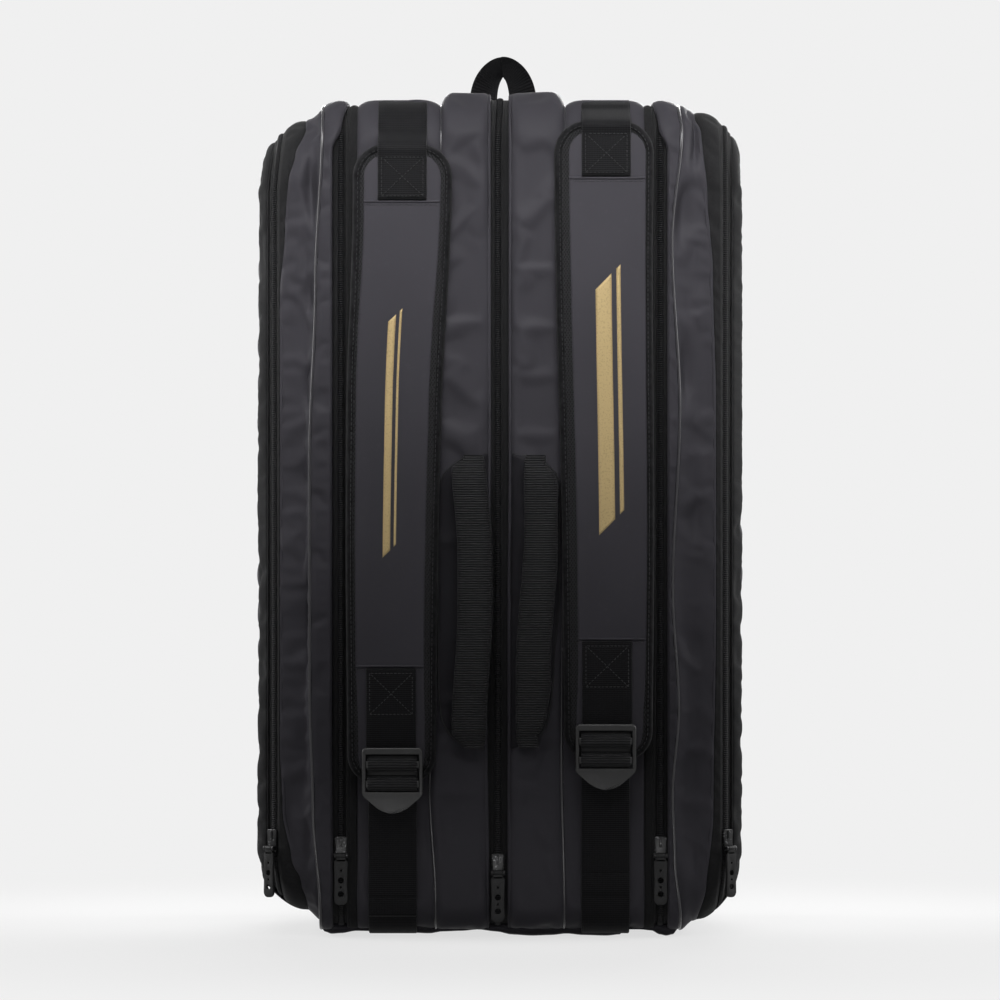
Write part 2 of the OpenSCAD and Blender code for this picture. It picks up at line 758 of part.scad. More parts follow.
inner_zip(left);  // inner_zip_left
inner_zip(right);  // inner_zip_right
pocket_zip(left);  // pocket_zip_left
pocket_zip(right);  // pocket_zip_right
at_main_zip(0, center_slider_z) slider();  // center_slider
at_main_zip(-inner_zip_x, inner_slider_z) slider();  // inner_slider_left
at_main_zip(inner_zip_x, inner_slider_z) slider();  // inner_slider_right
at_pocket_zip(left) slider();  // pocket_slider_left
at_pocket_zip(right) slider();  // pocket_slider_right
at_main_zip(0, center_slider_z) pull();  // center_pull
at_main_zip(-inner_zip_x, inner_slider_z) pull();  // inner_pull_left
at_main_zip(inner_zip_x, inner_slider_z) pull();  // inner_pull_right
at_pocket_zip(left) pull();  // pocket_pull_left
at_pocket_zip(right) pull();  // pocket_pull_right
grip_patches();
grip(left);  // grip_left
grip(right);  // grip_right
haul_loop();
strap_anchors();
strap_pad(left);  // strap_pad_left
strap_pad(right);  // strap_pad_right
strap_face(left);  // strap_face_left
strap_face(right);  // strap_face_right
upper_web(left);  // upper_web_left
upper_web(right);  // upper_web_right
lower_web(left);  // lower_web_left
lower_web(right);  // lower_web_right
buckle(left);  // buckle_left
buckle(right);  // buckle_right
strap_tail(left);  // strap_tail_left
strap_tail(right);  // strap_tail_right
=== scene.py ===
import math

import bpy
from mathutils import Matrix, Vector, noise
from mathutils.bvhtree import BVHTree


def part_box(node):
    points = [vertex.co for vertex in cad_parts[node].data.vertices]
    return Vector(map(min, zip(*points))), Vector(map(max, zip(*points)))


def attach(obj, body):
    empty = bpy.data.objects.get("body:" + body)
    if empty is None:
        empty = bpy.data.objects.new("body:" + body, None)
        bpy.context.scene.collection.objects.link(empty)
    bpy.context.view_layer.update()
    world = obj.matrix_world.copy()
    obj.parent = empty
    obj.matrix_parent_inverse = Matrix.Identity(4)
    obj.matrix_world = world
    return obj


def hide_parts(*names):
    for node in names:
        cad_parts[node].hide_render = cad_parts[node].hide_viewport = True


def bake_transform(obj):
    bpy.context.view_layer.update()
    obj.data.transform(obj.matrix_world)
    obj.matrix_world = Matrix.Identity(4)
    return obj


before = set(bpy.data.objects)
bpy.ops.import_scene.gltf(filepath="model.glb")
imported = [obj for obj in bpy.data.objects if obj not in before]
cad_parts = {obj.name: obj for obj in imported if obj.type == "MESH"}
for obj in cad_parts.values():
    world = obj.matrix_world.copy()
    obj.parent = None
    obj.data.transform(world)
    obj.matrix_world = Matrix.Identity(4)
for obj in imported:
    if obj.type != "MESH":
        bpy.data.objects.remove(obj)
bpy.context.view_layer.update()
mm = 0.001
turn = 2 * math.pi
sides = {"left": -1, "right": 1}
rightwards, forwards = Vector((1, 0, 0)), Vector((0, -1, 0))

print("camera, floor and lights")

cameraSet = {"distance": 5.835, "height": 0.409, "shownHeight": 0.934, "sensor": 36.0, "farthest": 200.0}


def setCamera():
    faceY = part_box("divider_left")[0].y
    place = (0, faceY - cameraSet["distance"], cameraSet["height"])
    bpy.ops.object.camera_add(location=place, rotation=(math.pi / 2, 0, 0))
    camera = bpy.context.object
    camera.data.sensor_width = cameraSet["sensor"]
    camera.data.lens = cameraSet["sensor"] * cameraSet["distance"] / cameraSet["shownHeight"]
    camera.data.clip_end = cameraSet["farthest"]
    bpy.context.scene.camera = camera


class Wire:
    # one socket of a finish: arithmetic on it adds Math nodes

    def __init__(self, finish, socket):
        self.finish = finish
        self.socket = socket

    def math(self, operation, *values):
        inputs = dict(enumerate(values))
        return self.finish.node("ShaderNodeMath", {"operation": operation}, inputs)

    def __add__(self, other):
        return self.math("ADD", self, other)

    def __sub__(self, other):
        return self.math("SUBTRACT", self, other)

    def __rsub__(self, other):
        return self.math("SUBTRACT", other, self)

    def __mul__(self, other):
        return self.math("MULTIPLY", self, other)

    __radd__ = __add__
    __rmul__ = __mul__

    def wave(self, pitch, shift=0.0):
        # a sine that repeats every pitch
        return self.math("SINE", self * (turn / pitch) + shift)

    def size(self):
        return self.math("ABSOLUTE", self)

    def larger(self, other):
        return self.math("MAXIMUM", self, other)

    def smooth(self, low, high):
        # 0 below low, 1 above high, eased in between
        limits = {"Value": self, "From Min": low, "From Max": high}
        return self.finish.node("ShaderNodeMapRange", {"interpolation_type": "SMOOTHSTEP"}, limits)


class Finish:
    # a material under construction

    def __init__(self, name, settings):
        self.material = bpy.data.materials.new(name)
        self.material.use_nodes = True
        self.tree = self.material.node_tree
        self.shader = self.tree.nodes["Principled BSDF"]
        self.set(settings)

    def node(self, kind, settings, inputs, output=0):
        made = self.tree.nodes.new(kind)
        for name, value in settings.items():
            setattr(made, name, value)
        for name, value in inputs.items():
            self.feed(made.inputs[name], value)
        return Wire(self, made.outputs[output])

    def feed(self, socket, value):
        if isinstance(value, Wire):
            self.tree.links.new(value.socket, socket)
        else:
            socket.default_value = value

    def set(self, values):
        for name, value in values.items():
            self.feed(self.shader.inputs[name], value)

    def place(self):
        return self.node("ShaderNodeTexCoord", {}, {}, "Object")

    def cloth(self):
        # metres across the cloth and metres along it
        uv = self.node("ShaderNodeUVMap", {"uv_map": "cloth"}, {})
        split = self.node("ShaderNodeSeparateXYZ", {}, {"Vector": uv}, "X")
        return split, Wire(self, split.socket.node.outputs["Y"])

    def cloud(self, scale, detail=2.0, stretch=None):
        where = self.place()
        if stretch:
            where = self.node("ShaderNodeMapping", {}, {"Vector": where, "Scale": stretch})
        inputs = {"Vector": where, "Scale": scale, "Detail": detail}
        return self.node("ShaderNodeTexNoise", {}, inputs)

    def blend(self, low, high, share):
        inputs = {0: share, 6: (*low, 1), 7: (*high, 1)}
        return self.node("ShaderNodeMix", {"data_type": "RGBA"}, inputs, 2)

    def tint(self, colour, low, high, share):
        # one colour, from darker to lighter
        dark, light = ([channel * level for channel in colour] for level in (low, high))
        self.set({"Base Color": self.blend(dark, light, share)})

    def rough(self, level, cloud, spread):
        self.set({"Roughness": level + (cloud - 0.5) * spread})

    def relief(self, height, depth, strength=1.0):
        inputs = {"Height": height, "Distance": depth, "Strength": strength}
        self.set({"Normal": self.node("ShaderNodeBump", {}, inputs)})


skySet = {
    # the backdrop that the camera, metal and glass see, and the faint light that the bag gets from it
    "shown": (0.871, 0.871, 0.871, 1), "fillColour": (0.9, 0.92, 1.0, 1), "fill": 0.02,
}
floorSet = {
    "size": 80.0, "colour": (0.62, 0.62, 0.62), "shadowShare": 0.22, "shadowNear": 0.35, "shadowFar": 1.0,
}


def seenDirectly(tree):
    # 1 for camera, glossy and transmission rays
    path = tree.nodes.new("ShaderNodeLightPath")
    total = path.outputs["Is Camera Ray"]
    for ray in ("Is Glossy Ray", "Is Transmission Ray"):
        highest = tree.nodes.new("ShaderNodeMath")
        highest.operation = "MAXIMUM"
        tree.links.new(total, highest.inputs[0])
        tree.links.new(path.outputs[ray], highest.inputs[1])
        total = highest.outputs[0]
    return total


def setBackdrop():
    world = bpy.data.worlds.new("studio")
    bpy.context.scene.world = world
    world.use_nodes = True
    tree = world.node_tree
    tree.nodes.clear()
    seen = tree.nodes.new("ShaderNodeBackground")
    seen.inputs["Color"].default_value = skySet["shown"]
    fill = tree.nodes.new("ShaderNodeBackground")
    fill.inputs["Color"].default_value = skySet["fillColour"]
    fill.inputs["Strength"].default_value = skySet["fill"]
    mixed = tree.nodes.new("ShaderNodeMixShader")
    output = tree.nodes.new("ShaderNodeOutputWorld")
    tree.links.new(seenDirectly(tree), mixed.inputs["Fac"])
    tree.links.new(fill.outputs[0], mixed.inputs[1])
    tree.links.new(seen.outputs[0], mixed.inputs[2])
    tree.links.new(mixed.outputs[0], output.inputs["Surface"])


def floorFinish():
    # pale to the camera, with a share of real shadow near the bag
    f = Finish("floor", {"Base Color": (*floorSet["colour"], 1), "Roughness": 0.9})
    where = f.place()
    span = f.node("ShaderNodeVectorMath", {"operation": "LENGTH"}, {"Vector": where}, "Value")
    near = 1 - span.smooth(floorSet["shadowNear"], floorSet["shadowFar"])
    pale = f.node("ShaderNodeEmission", {}, {"Color": skySet["shown"]}, "Emission")
    seen = Wire(f, seenDirectly(f.tree))
    share = seen * (1 - near * floorSet["shadowShare"])
    lit = Wire(f, f.shader.outputs["BSDF"])
    mixed = f.node("ShaderNodeMixShader", {}, {0: share, 1: lit, 2: pale})
    f.feed(f.tree.nodes["Material Output"].inputs["Surface"], mixed)
    return f.material


def setFloor():
    bpy.ops.mesh.primitive_plane_add(size=floorSet["size"])
    floor = bpy.context.object
    floor.name = "floor"
    floor.data.materials.append(floorFinish())


lightSet = {
    # place, width, height, power, what it points at, spread in degrees
    "key": ((0.0, -0.62, 1.0), 1.3, 0.3, 4.3, (0.0, -0.1, 0.61), 64),
    "low": ((0.0, -0.60, 0.05), 0.5, 0.04, 0.038, (0.0, -0.165, 0.05), 34),
    "leftStrip": ((-1.25, -0.75, 0.78), 0.07, 0.6, 1.4, (0.0, 0.0, 0.55), 180),
    "rightStrip": ((1.25, -0.75, 0.78), 0.07, 0.6, 1.4, (0.0, 0.0, 0.55), 180),
    "leftFlank": ((-1.4, 0.25, 0.9), 0.8, 0.8, 7.0, (-0.2, 0.05, 0.45), 90),
    "rightFlank": ((1.4, 0.25, 0.9), 0.8, 0.8, 7.0, (0.2, 0.05, 0.45), 90),
    "rear": ((0.2, 2.0, 0.95), 1.6, 1.0, 16.0, (0.0, 0.1, 0.42), 90),
}


def setLights():
    for name, (place, width, height, power, target, spread) in lightSet.items():
        heading = (Vector(target) - Vector(place)).to_track_quat("-Z", "Y")
        bpy.ops.object.light_add(type="AREA", location=place, rotation=heading.to_euler())
        lamp = bpy.context.object
        lamp.name = name
        lamp.data.shape = "RECTANGLE"
        lamp.data.size = width
        lamp.data.size_y = height
        lamp.data.energy = power
        lamp.data.spread = math.radians(spread)


setCamera()
setBackdrop()
setFloor()
setLights()
bpy.context.scene.view_settings.view_transform = "Standard"

print("finishes")


def clothFinish(name, shine, sheen, sheenRoughness=0.4):
    settings = {"Specular IOR Level": shine, "Sheen Weight": sheen, "Sheen Roughness": sheenRoughness}
    return Finish(name, settings)


leatherSet = {"dark": (0.0200, 0.0192, 0.0222), "light": (0.0340, 0.0326, 0.0378), "roughness": 0.5}


def coatedFabric(name, lift=1.0, roughness=leatherSet["roughness"], creases=1.0, shine=0.03):
    # soft-touch coating: a fine pebble grain, faint broad shading and long shallow creases
    f = clothFinish(name, shine, 0.01)
    dark = [channel * lift for channel in leatherSet["dark"]]
    light = [channel * lift for channel in leatherSet["light"]]
    broad = f.cloud(7.0, 3.0)
    scuffs = f.cloud(160.0, 4.0).smooth(0.58, 0.78)
    f.set({"Base Color": f.blend(dark, light, broad * 0.8 + scuffs * 0.15)})
    f.set({"Roughness": roughness + (f.cloud(45.0, 2.0) - 0.5) * 0.18 - scuffs * 0.04})
    pebbles = f.node("ShaderNodeTexVoronoi", {}, {"Vector": f.place(), "Scale": 1500.0}, "Distance")
    folds = f.cloud(26.0, 3.0, (1.0, 1.0, 0.35)) * creases
    f.relief(pebbles * 0.05 + f.cloud(900.0, 3.0) * 0.06 + folds, 0.0011, 0.55)
    return f.material


def wovenCloth(name, colour, pitch, depth, roughness=0.75, shine=0.02, fleck=0.0):
    # plain weave: threads over and under each other along both directions of the cloth
    f = clothFinish(name, shine, 0.04, 0.5)
    across, along = f.cloth()
    threads = across.wave(pitch) * along.wave(pitch)
    loose = f.cloud(420.0, 2.0)
    tone = threads * 0.3 + loose * 0.9 + (f.cloud(230.0, 1.0, (1.0, 1.0, 0.7)) - 0.5) * fleck
    f.tint(colour, 0.6, 1.5, tone)
    f.rough(roughness, loose, 0.2)
    f.relief(threads * 0.5 + loose * 0.35, depth)
    return f.material


def ribbedWebbing(name, colour, ribPitch, rowPitch, depth, roughness=0.62, shine=0.03, rowShare=0.3):
    # webbing: weft ribs right across, bound by rows of warp threads that run along; the base colour is
    # painted darker in the grooves and lighter on the rib tops, as painted shade
    f = clothFinish(name, shine, 0.05)
    across, along = f.cloth()
    ribs = along.wave(ribPitch * 2).size()
    rows = across.wave(rowPitch * 2).size()
    height = ribs * (1 - rowShare) + rows * rowShare
    fuzz = f.cloud(600.0, 2.0)
    # painted shade: the rib height sets the colour, near-black in the grooves and light on the rib tops
    paintedRibShade = height * 1.1 + fuzz * 0.3 - 0.3
    f.tint(colour, 0.1, 1.9, paintedRibShade)
    f.rough(roughness, fuzz, 0.2)
    f.relief(height, depth)
    return f.material


def twillTape(name, colour):
    # zip tape: a fine herringbone in lengthwise bands
    f = clothFinish(name, 0.05, 0.06, 0.5)
    across, along = f.cloth()
    band = across.wave(6 * mm).size()
    twill = (along + band * (2 * mm)).wave(1.1 * mm)
    f.tint(colour, 0.6, 1.5, twill * 0.35 + 0.5)
    f.rough(0.8, f.cloud(300.0), 0.15)
    f.relief(twill, 0.00015)
    return f.material


def spacerMesh(name, colour, pitch):
    # knitted mesh: rows of small round openings, every other row shifted by half a step
    f = clothFinish(name, 0.06, 0.12)
    across, along = f.cloth()
    first, second = [
        ((across.wave(pitch, shift) + along.wave(pitch * 1.7, shift)) * 0.5).smooth(0.25, 0.8)
        for shift in (0.0, turn / 2)
    ]
    yarn = 1 - first.larger(second)
    f.tint(colour, 0.25, 1.4, yarn)
    f.rough(0.7, f.cloud(300.0), 0.2)
    f.relief(yarn + f.cloud(1200.0, 2.0) * 0.2, 0.0006)
    return f.material


def nylonCoil(name):
    f = Finish(name, {"Specular IOR Level": 0.16})
    f.set({"Base Color": f.blend((0.003, 0.003, 0.003), (0.007, 0.007, 0.008), f.cloud(300.0))})
    f.set({"Roughness": 0.42 + f.cloud(120.0) * 0.15})
    return f.material


def enamelMetal(name):
    # black enamel on cast zinc, worn brighter where it rubs
    f = Finish(name, {"Specular IOR Level": 0.22})
    worn = f.cloud(420.0, 3.0).smooth(0.60, 0.68)
    f.set({"Base Color": f.blend((0.006, 0.006, 0.0065), (0.16, 0.16, 0.165), worn * 0.7)})
    f.set({"Metallic": worn * 0.6 + 0.1})
    f.set({"Roughness": 0.24 + f.cloud(300.0) * 0.16})
    f.relief(f.cloud(700.0, 2.0), 0.00004)
    return f.material


def mouldedRubber(name, colour, roughness, shine=0.3):
    f = Finish(name, {"Specular IOR Level": shine})
    dust = f.cloud(90.0, 4.0)
    f.tint(colour, 1.0, 1.9, dust.smooth(0.45, 0.75))
    f.rough(roughness, f.cloud(500.0), 0.15)
    f.relief(f.cloud(2600.0, 2.0), 0.00005)
    return f.material


def thread(name, colour):
    f = Finish(name, {"Specular IOR Level": 0.3})
    twist = f.cloud(2500.0, 1.0, (1.0, 1.0, 0.3))
    f.tint(colour, 0.7, 1.3, twist)
    f.set({"Roughness": 0.5 + twist * 0.2})
    return f.material


def goldPrint(name):
    # foil printed on the coating: the grain shows through and thin spots are duller
    f = Finish(name, {"Specular IOR Level": 0.4})
    thin = f.cloud(700.0, 3.0).smooth(0.52, 0.66)
    f.set({"Base Color": f.blend((0.27, 0.20, 0.092), (0.22, 0.165, 0.074), thin)})
    f.set({"Metallic": 0.2 - thin * 0.1})
    f.set({"Roughness": 0.45 + thin * 0.2})
    f.relief(f.cloud(900.0, 3.0), 0.00006)
    return f.material


def boardFinish(name, colour):
    f = Finish(name, {"Specular IOR Level": 0.2})
    f.tint(colour, 0.8, 1.0, f.cloud(200.0, 4.0))
    f.rough(0.8, f.cloud(60.0), 0.1)
    f.relief(f.cloud(500.0, 3.0), 0.0001)
    return f.material


finishes = {
    "coated": coatedFabric("coated_fabric"),
    "strapFace": coatedFabric("strap_face_coating", 1.12, 0.47, 0.35),
    "quilted": coatedFabric("quilted_fabric", 0.8, 0.55, 1.2),
    "patch": coatedFabric("patch_fabric", 0.42, 0.55, 1.0),
    "piping": coatedFabric("piping_cover", 0.6, 0.24, 0.3, 0.32),
    "nylon": wovenCloth("gusset_nylon", (0.0092, 0.0092, 0.0096), 1.1 * mm, 0.00012),
    "lining": wovenCloth("lining_fabric", (0.030, 0.030, 0.032), 0.9 * mm, 0.00008),
    "binding": wovenCloth("woven_binding", (0.0065, 0.0065, 0.007), 1.4 * mm, 0.00020, fleck=3.0),
    "webbing": ribbedWebbing("webbing", (0.0060, 0.0060, 0.0065), 1.9 * mm, 1.5 * mm, 0.00028),
    "gripWebbing": ribbedWebbing(
        "grip_webbing", (0.0115, 0.0115, 0.0121), 2.25 * mm, 2.2 * mm, 0.0005, 0.5, 0.06, 0.02),
    "tape": twillTape("zip_tape", (0.0062, 0.0062, 0.0066)),
    "coil": nylonCoil("zip_coil"),
    "mesh": spacerMesh("strap_mesh", (0.0095, 0.0095, 0.0102), 2.6 * mm),
    "metal": enamelMetal("slider_metal"),
    "rubber": mouldedRubber("pull_rubber", (0.0046, 0.0046, 0.0048), 0.5, 0.14),
    "plastic": mouldedRubber("buckle_plastic", (0.0070, 0.0070, 0.0072), 0.33),
    "thread": thread("stitching_thread", (0.007, 0.007, 0.0075)),
    "gold": goldPrint("gold_print"),
    "board": boardFinish("stiffener_board", (0.08, 0.075, 0.07)),
}

print("shared shapes")


def smoothStep(value, low, high):
    share = min(1.0, max(0.0, (value - low) / (high - low)))
    return share * share * (3 - 2 * share)


def alongCurve(knots, height):
    # an eased curve through (height, value) knots
    if height <= knots[0][0]:
        return knots[0][1]
    for (h0, v0), (h1, v1) in zip(knots, knots[1:]):
        if height <= h1:
            return v0 + (v1 - v0) * smoothStep(height, h0, h1)
    return knots[-1][1]


def roundShare(share):
    # a quarter circle from 0 up to 1
    return math.sqrt(max(0.0, 1 - (1 - min(1.0, share)) ** 2))


def drawnIn(radius, depth):
    # how far a round corner draws an edge in, at a depth from its end
    if depth >= radius:
        return 0.0
    return radius - math.sqrt(max(0.0, radius ** 2 - (radius - max(0.0, depth)) ** 2))


class Outline:
    # a rounded loop in Y and Z, walked up the front, over the top, down the rear and back under

    def __init__(self, low, high, corners):
        frontBase, frontTop, rearTop, rearBase = corners
        y0, y1, z0, z1 = low.y, high.y, low.z, high.z
        self.low, self.high, self.corners = (y0, z0), (y1, z1), corners
        self.parts = []
        self.marks = {}
        self.length = 0.0
        self.addArc("frontBase", (y0 + frontBase, z0 + frontBase), frontBase, turn * 0.75, turn * 0.5)
        self.addLine("front", (y0, z0 + frontBase), (y0, z1 - frontTop), (-1, 0))
        self.addArc("frontTop", (y0 + frontTop, z1 - frontTop), frontTop, turn * 0.5, turn * 0.25)
        self.addLine("top", (y0 + frontTop, z1), (y1 - rearTop, z1), (0, 1))
        self.addArc("rearTop", (y1 - rearTop, z1 - rearTop), rearTop, turn * 0.25, 0)
        self.addLine("rear", (y1, z1 - rearTop), (y1, z0 + rearBase), (1, 0))
        self.addArc("rearBase", (y1 - rearBase, z0 + rearBase), rearBase, 0, -turn * 0.25)
        self.addLine("base", (y1 - rearBase, z0), (y0 + frontBase, z0), (0, -1))

    def addArc(self, name, centre, radius, start, end):
        self.addPart(name, abs(end - start) * radius, (centre, radius, start, end))

    def addLine(self, name, start, end, normal):
        self.addPart(name, math.dist(start, end), (start, end, normal))

    def addPart(self, name, length, shape):
        self.marks[name] = (self.length, self.length + length)
        self.parts.append((self.length, length, shape))
        self.length += length

    def at(self, s):
        # y, z and the outward direction, s metres along the loop
        for start, length, shape in self.parts:
            share = (s - start) / length
            if share <= 1 or shape is self.parts[-1][2]:
                break
        if len(shape) == 4:
            centre, radius, a0, a1 = shape
            angle = a0 + (a1 - a0) * share
            ny, nz = math.cos(angle), math.sin(angle)
            return centre[0] + radius * ny, centre[1] + radius * nz, ny, nz
        p0, p1, (ny, nz) = shape
        return p0[0] + (p1[0] - p0[0]) * share, p0[1] + (p1[1] - p0[1]) * share, ny, nz

    def rowEnds(self, z):
        # the lowest and highest y at height z
        frontBase, frontTop, rearTop, rearBase = self.corners
        (y0, z0), (y1, z1) = self.low, self.high
        front = drawnIn(frontBase, z - z0) + drawnIn(frontTop, z1 - z)
        rear = drawnIn(rearBase, z - z0) + drawnIn(rearTop, z1 - z)
        return y0 + front, y1 - rear


def link(name, verts, faces, uvs, finish):
    # a new mesh object with its cloth UV map in metres, one UV for each vertex
    data = bpy.data.meshes.new(name)
    data.from_pydata([tuple(v) for v in verts], [], faces)
    layer = data.uv_layers.new(name="cloth")
    for loop in data.loops:
        layer.data[loop.index].uv = uvs[loop.vertex_index]
    data.materials.append(finishes[finish])
    data.polygons.foreach_set("use_smooth", [True] * len(data.polygons))
    piece = bpy.data.objects.new(name, data)
    bpy.context.scene.collection.objects.link(piece)
    return piece


def pick(piece):
    bpy.ops.object.select_all(action="DESELECT")
    piece.select_set(True)
    bpy.context.view_layer.objects.active = piece


def applyModifiers(piece):
    pick(piece)
    for modifier in list(piece.modifiers):
        bpy.ops.object.modifier_apply(modifier=modifier.name)


def subdivide(piece, levels):
    smoother = piece.modifiers.new("smoother", "SUBSURF")
    smoother.levels = levels
    smoother.render_levels = levels


def thicken(piece, thickness, levels=1):
    # cloth gets its thickness towards the inside, then one round of subdivision
    wall = piece.modifiers.new("thickness", "SOLIDIFY")
    wall.thickness = thickness
    wall.offset = -1
    if levels:
        subdivide(piece, levels)
    applyModifiers(piece)


def editAll(piece):
    pick(piece)
    bpy.ops.object.mode_set(mode="EDIT")
    bpy.ops.mesh.select_all(action="SELECT")


def pointOutwards(piece):
    editAll(piece)
    bpy.ops.mesh.remove_doubles(threshold=0.00001)
    bpy.ops.mesh.normals_make_consistent(inside=False)
    bpy.ops.object.mode_set(mode="OBJECT")


def settle(piece, body, slot, *nodes):
    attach(piece, body)
    if nodes:
        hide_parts(*nodes)
    return piece


def gridFaces(rows, cols, flip=False):
    faces = []
    for i in range(rows):
        for j in range(cols):
            corner = i * (cols + 1) + j
            face = [corner, corner + 1, corner + cols + 2, corner + cols + 1]
            faces.append(face[::-1] if flip else face)
    return faces


def tubeFaces(rings, count, base=0, closedLoop=False):
    # quads between rings of count points, and a cap at each end unless it closes on itself
    faces = []
    for i in range(rings if closedLoop else rings - 1):
        here, after = base + i * count, base + (i + 1) % rings * count
        for k in range(count):
            faces.append([here + k, here + (k + 1) % count, after + (k + 1) % count, after + k])
    if not closedLoop:
        faces.append([base + k for k in range(count)][::-1])
        faces.append([base + (rings - 1) * count + k for k in range(count)])
    return faces


def sweep(name, stations, section, finish, closedLoop=False):
    # carries a closed section along stations of (origin, across, outward, distance)
    rim = [0.0]
    for a, b in zip(section, section[1:] + section[:1]):
        rim.append(rim[-1] + math.dist(a, b))
    verts, uvs = [], []
    for origin, across, outward, distance in stations:
        for k, (a, o) in enumerate(section):
            verts.append(origin + across * a + outward * o)
            uvs.append((rim[k], distance))
    faces = tubeFaces(len(stations), len(section), closedLoop=closedLoop)
    piece = link(name, verts, faces, uvs, finish)
    pointOutwards(piece)
    return piece


def roundSection(width, height, count=10):
    return [
        (width / 2 * math.cos(turn * k / count), height / 2 * math.sin(turn * k / count))
        for k in range(count)
    ]


def bandSection(width, thickness, cells=6, edge=0.45):
    # a flat band with soft edges: its front from one edge to the other, then its back
    half, lip = width / 2, thickness * edge
    front = [(-half + lip + (width - 2 * lip) * k / cells, thickness / 2) for k in range(cells + 1)]
    back = [(x, -o) for x, o in reversed(front)]
    return front + [(half, 0.0)] + back + [(-half, 0.0)]


def smoothPath(knots, step):
    # even points on a Catmull-Rom curve through the knots
    ends = [knots[0] * 2 - knots[1]] + list(knots) + [knots[-1] * 2 - knots[-2]]
    dense = []
    for i in range(1, len(ends) - 2):
        a, b, c, d = ends[i - 1:i + 3]
        pieces = max(4, round((c - b).length / (step / 6)))
        for k in range(pieces):
            t = k / pieces
            dense.append(0.5 * (2 * b + (c - a) * t + (2 * a - 5 * b + 4 * c - d) * t ** 2
                                + (3 * b - a - 3 * c + d) * t ** 3))
    dense.append(ends[-2].copy())
    total = sum((q - p).length for p, q in zip(dense, dense[1:]))
    count = max(2, round(total / step))
    even, walked, goal = [dense[0]], 0.0, total / count
    for p, q in zip(dense, dense[1:]):
        span = (q - p).length
        while span > 0 and walked + span >= goal * len(even) - 1e-9 and len(even) < count:
            even.append(p.lerp(q, (goal * len(even) - walked) / span))
        walked += span
    return even + [dense[-1]]


def headings(points, closedLoop=False):
    # the direction of travel at each point
    last, found = len(points) - 1, []
    for i in range(last + 1):
        before, after = i - 1, (i + 1) % (last + 1)
        if not closedLoop:
            before, after = max(i - 1, 0), min(i + 1, last)
        found.append((points[after] - points[before]).normalized())
    return found


def bandStations(points):
    # stations for a band that lies right across
    stations, distance = [], 0.0
    for i, (point, ahead) in enumerate(zip(points, headings(points))):
        if i:
            distance += (point - points[i - 1]).length
        stations.append((point, rightwards, rightwards.cross(ahead).normalized(), distance))
    return stations


def treeOf(*pieces):
    verts, faces = [], []
    for piece in pieces:
        base = len(verts)
        verts += [v.co.copy() for v in piece.data.vertices]
        faces += [[base + i for i in p.vertices] for p in piece.data.polygons]
    return BVHTree.FromPolygons(verts, faces)


def dropOn(tree, point, outward, lift):
    # the point of the surface under point, lifted off it
    hit = tree.ray_cast(point + outward * 0.05, -outward, 0.12)
    if hit[0] is None:
        return point.copy()
    return hit[0] + outward * lift


stitchSet = {
    # length, gap and radius
    "row": (3.1 * mm, 1.3 * mm, 0.36 * mm), "box": (2.6 * mm, 1.0 * mm, 0.42 * mm), "count": 5,
    # share of the length, size and sink of each ring
    "rings": ((0.0, 0.45, 0.8), (0.22, 1.0, 0.0), (0.78, 1.0, 0.0), (1.0, 0.45, 0.8)),
}


class Stitching:
    # rows of short raised threads, gathered into one mesh for each body

    def __init__(self, name, body):
        self.name, self.body = name, body
        self.verts, self.faces, self.uvs = [], [], []

    def addOne(self, start, end, outward, radius):
        along = (end - start).normalized()
        across = along.cross(outward).normalized()
        count, rings = stitchSet["count"], stitchSet["rings"]
        self.faces += tubeFaces(len(rings), count, len(self.verts))
        for share, size, sink in rings:
            middle = start.lerp(end, share) - outward * (radius * sink)
            for k in range(count):
                angle = turn * k / count
                offset = across * math.cos(angle) + outward * math.sin(angle)
                self.verts.append(middle + offset * (radius * size))
                self.uvs.append((k * radius, share * 3 * mm))

    def addRow(self, points, outward, kind="row"):
        # stitches along a line of points
        length, gap, radius = stitchSet[kind]
        distances = [0.0]
        for p, q in zip(points, points[1:]):
            distances.append(distances[-1] + (q - p).length)
        span = 0.0

        def locate(d):
            i = 0
            while i < len(distances) - 2 and distances[i + 1] < d:
                i += 1
            share = (d - distances[i]) / max(1e-9, distances[i + 1] - distances[i])
            return points[i].lerp(points[i + 1], share)

        while span + length < distances[-1]:
            self.addOne(locate(span), locate(span + length), outward, radius)
            span += length + gap

    def finish(self, slot):
        piece = link(self.name, self.verts, self.faces, self.uvs, "thread")
        pointOutwards(piece)
        return settle(piece, self.body, slot)


stitching = {"bag": Stitching("bag_stitching", "bag")}
for side in sides:
    stitching[side] = Stitching(f"strap_{side}_stitching", "strap_" + side)

print("outlines and seams")

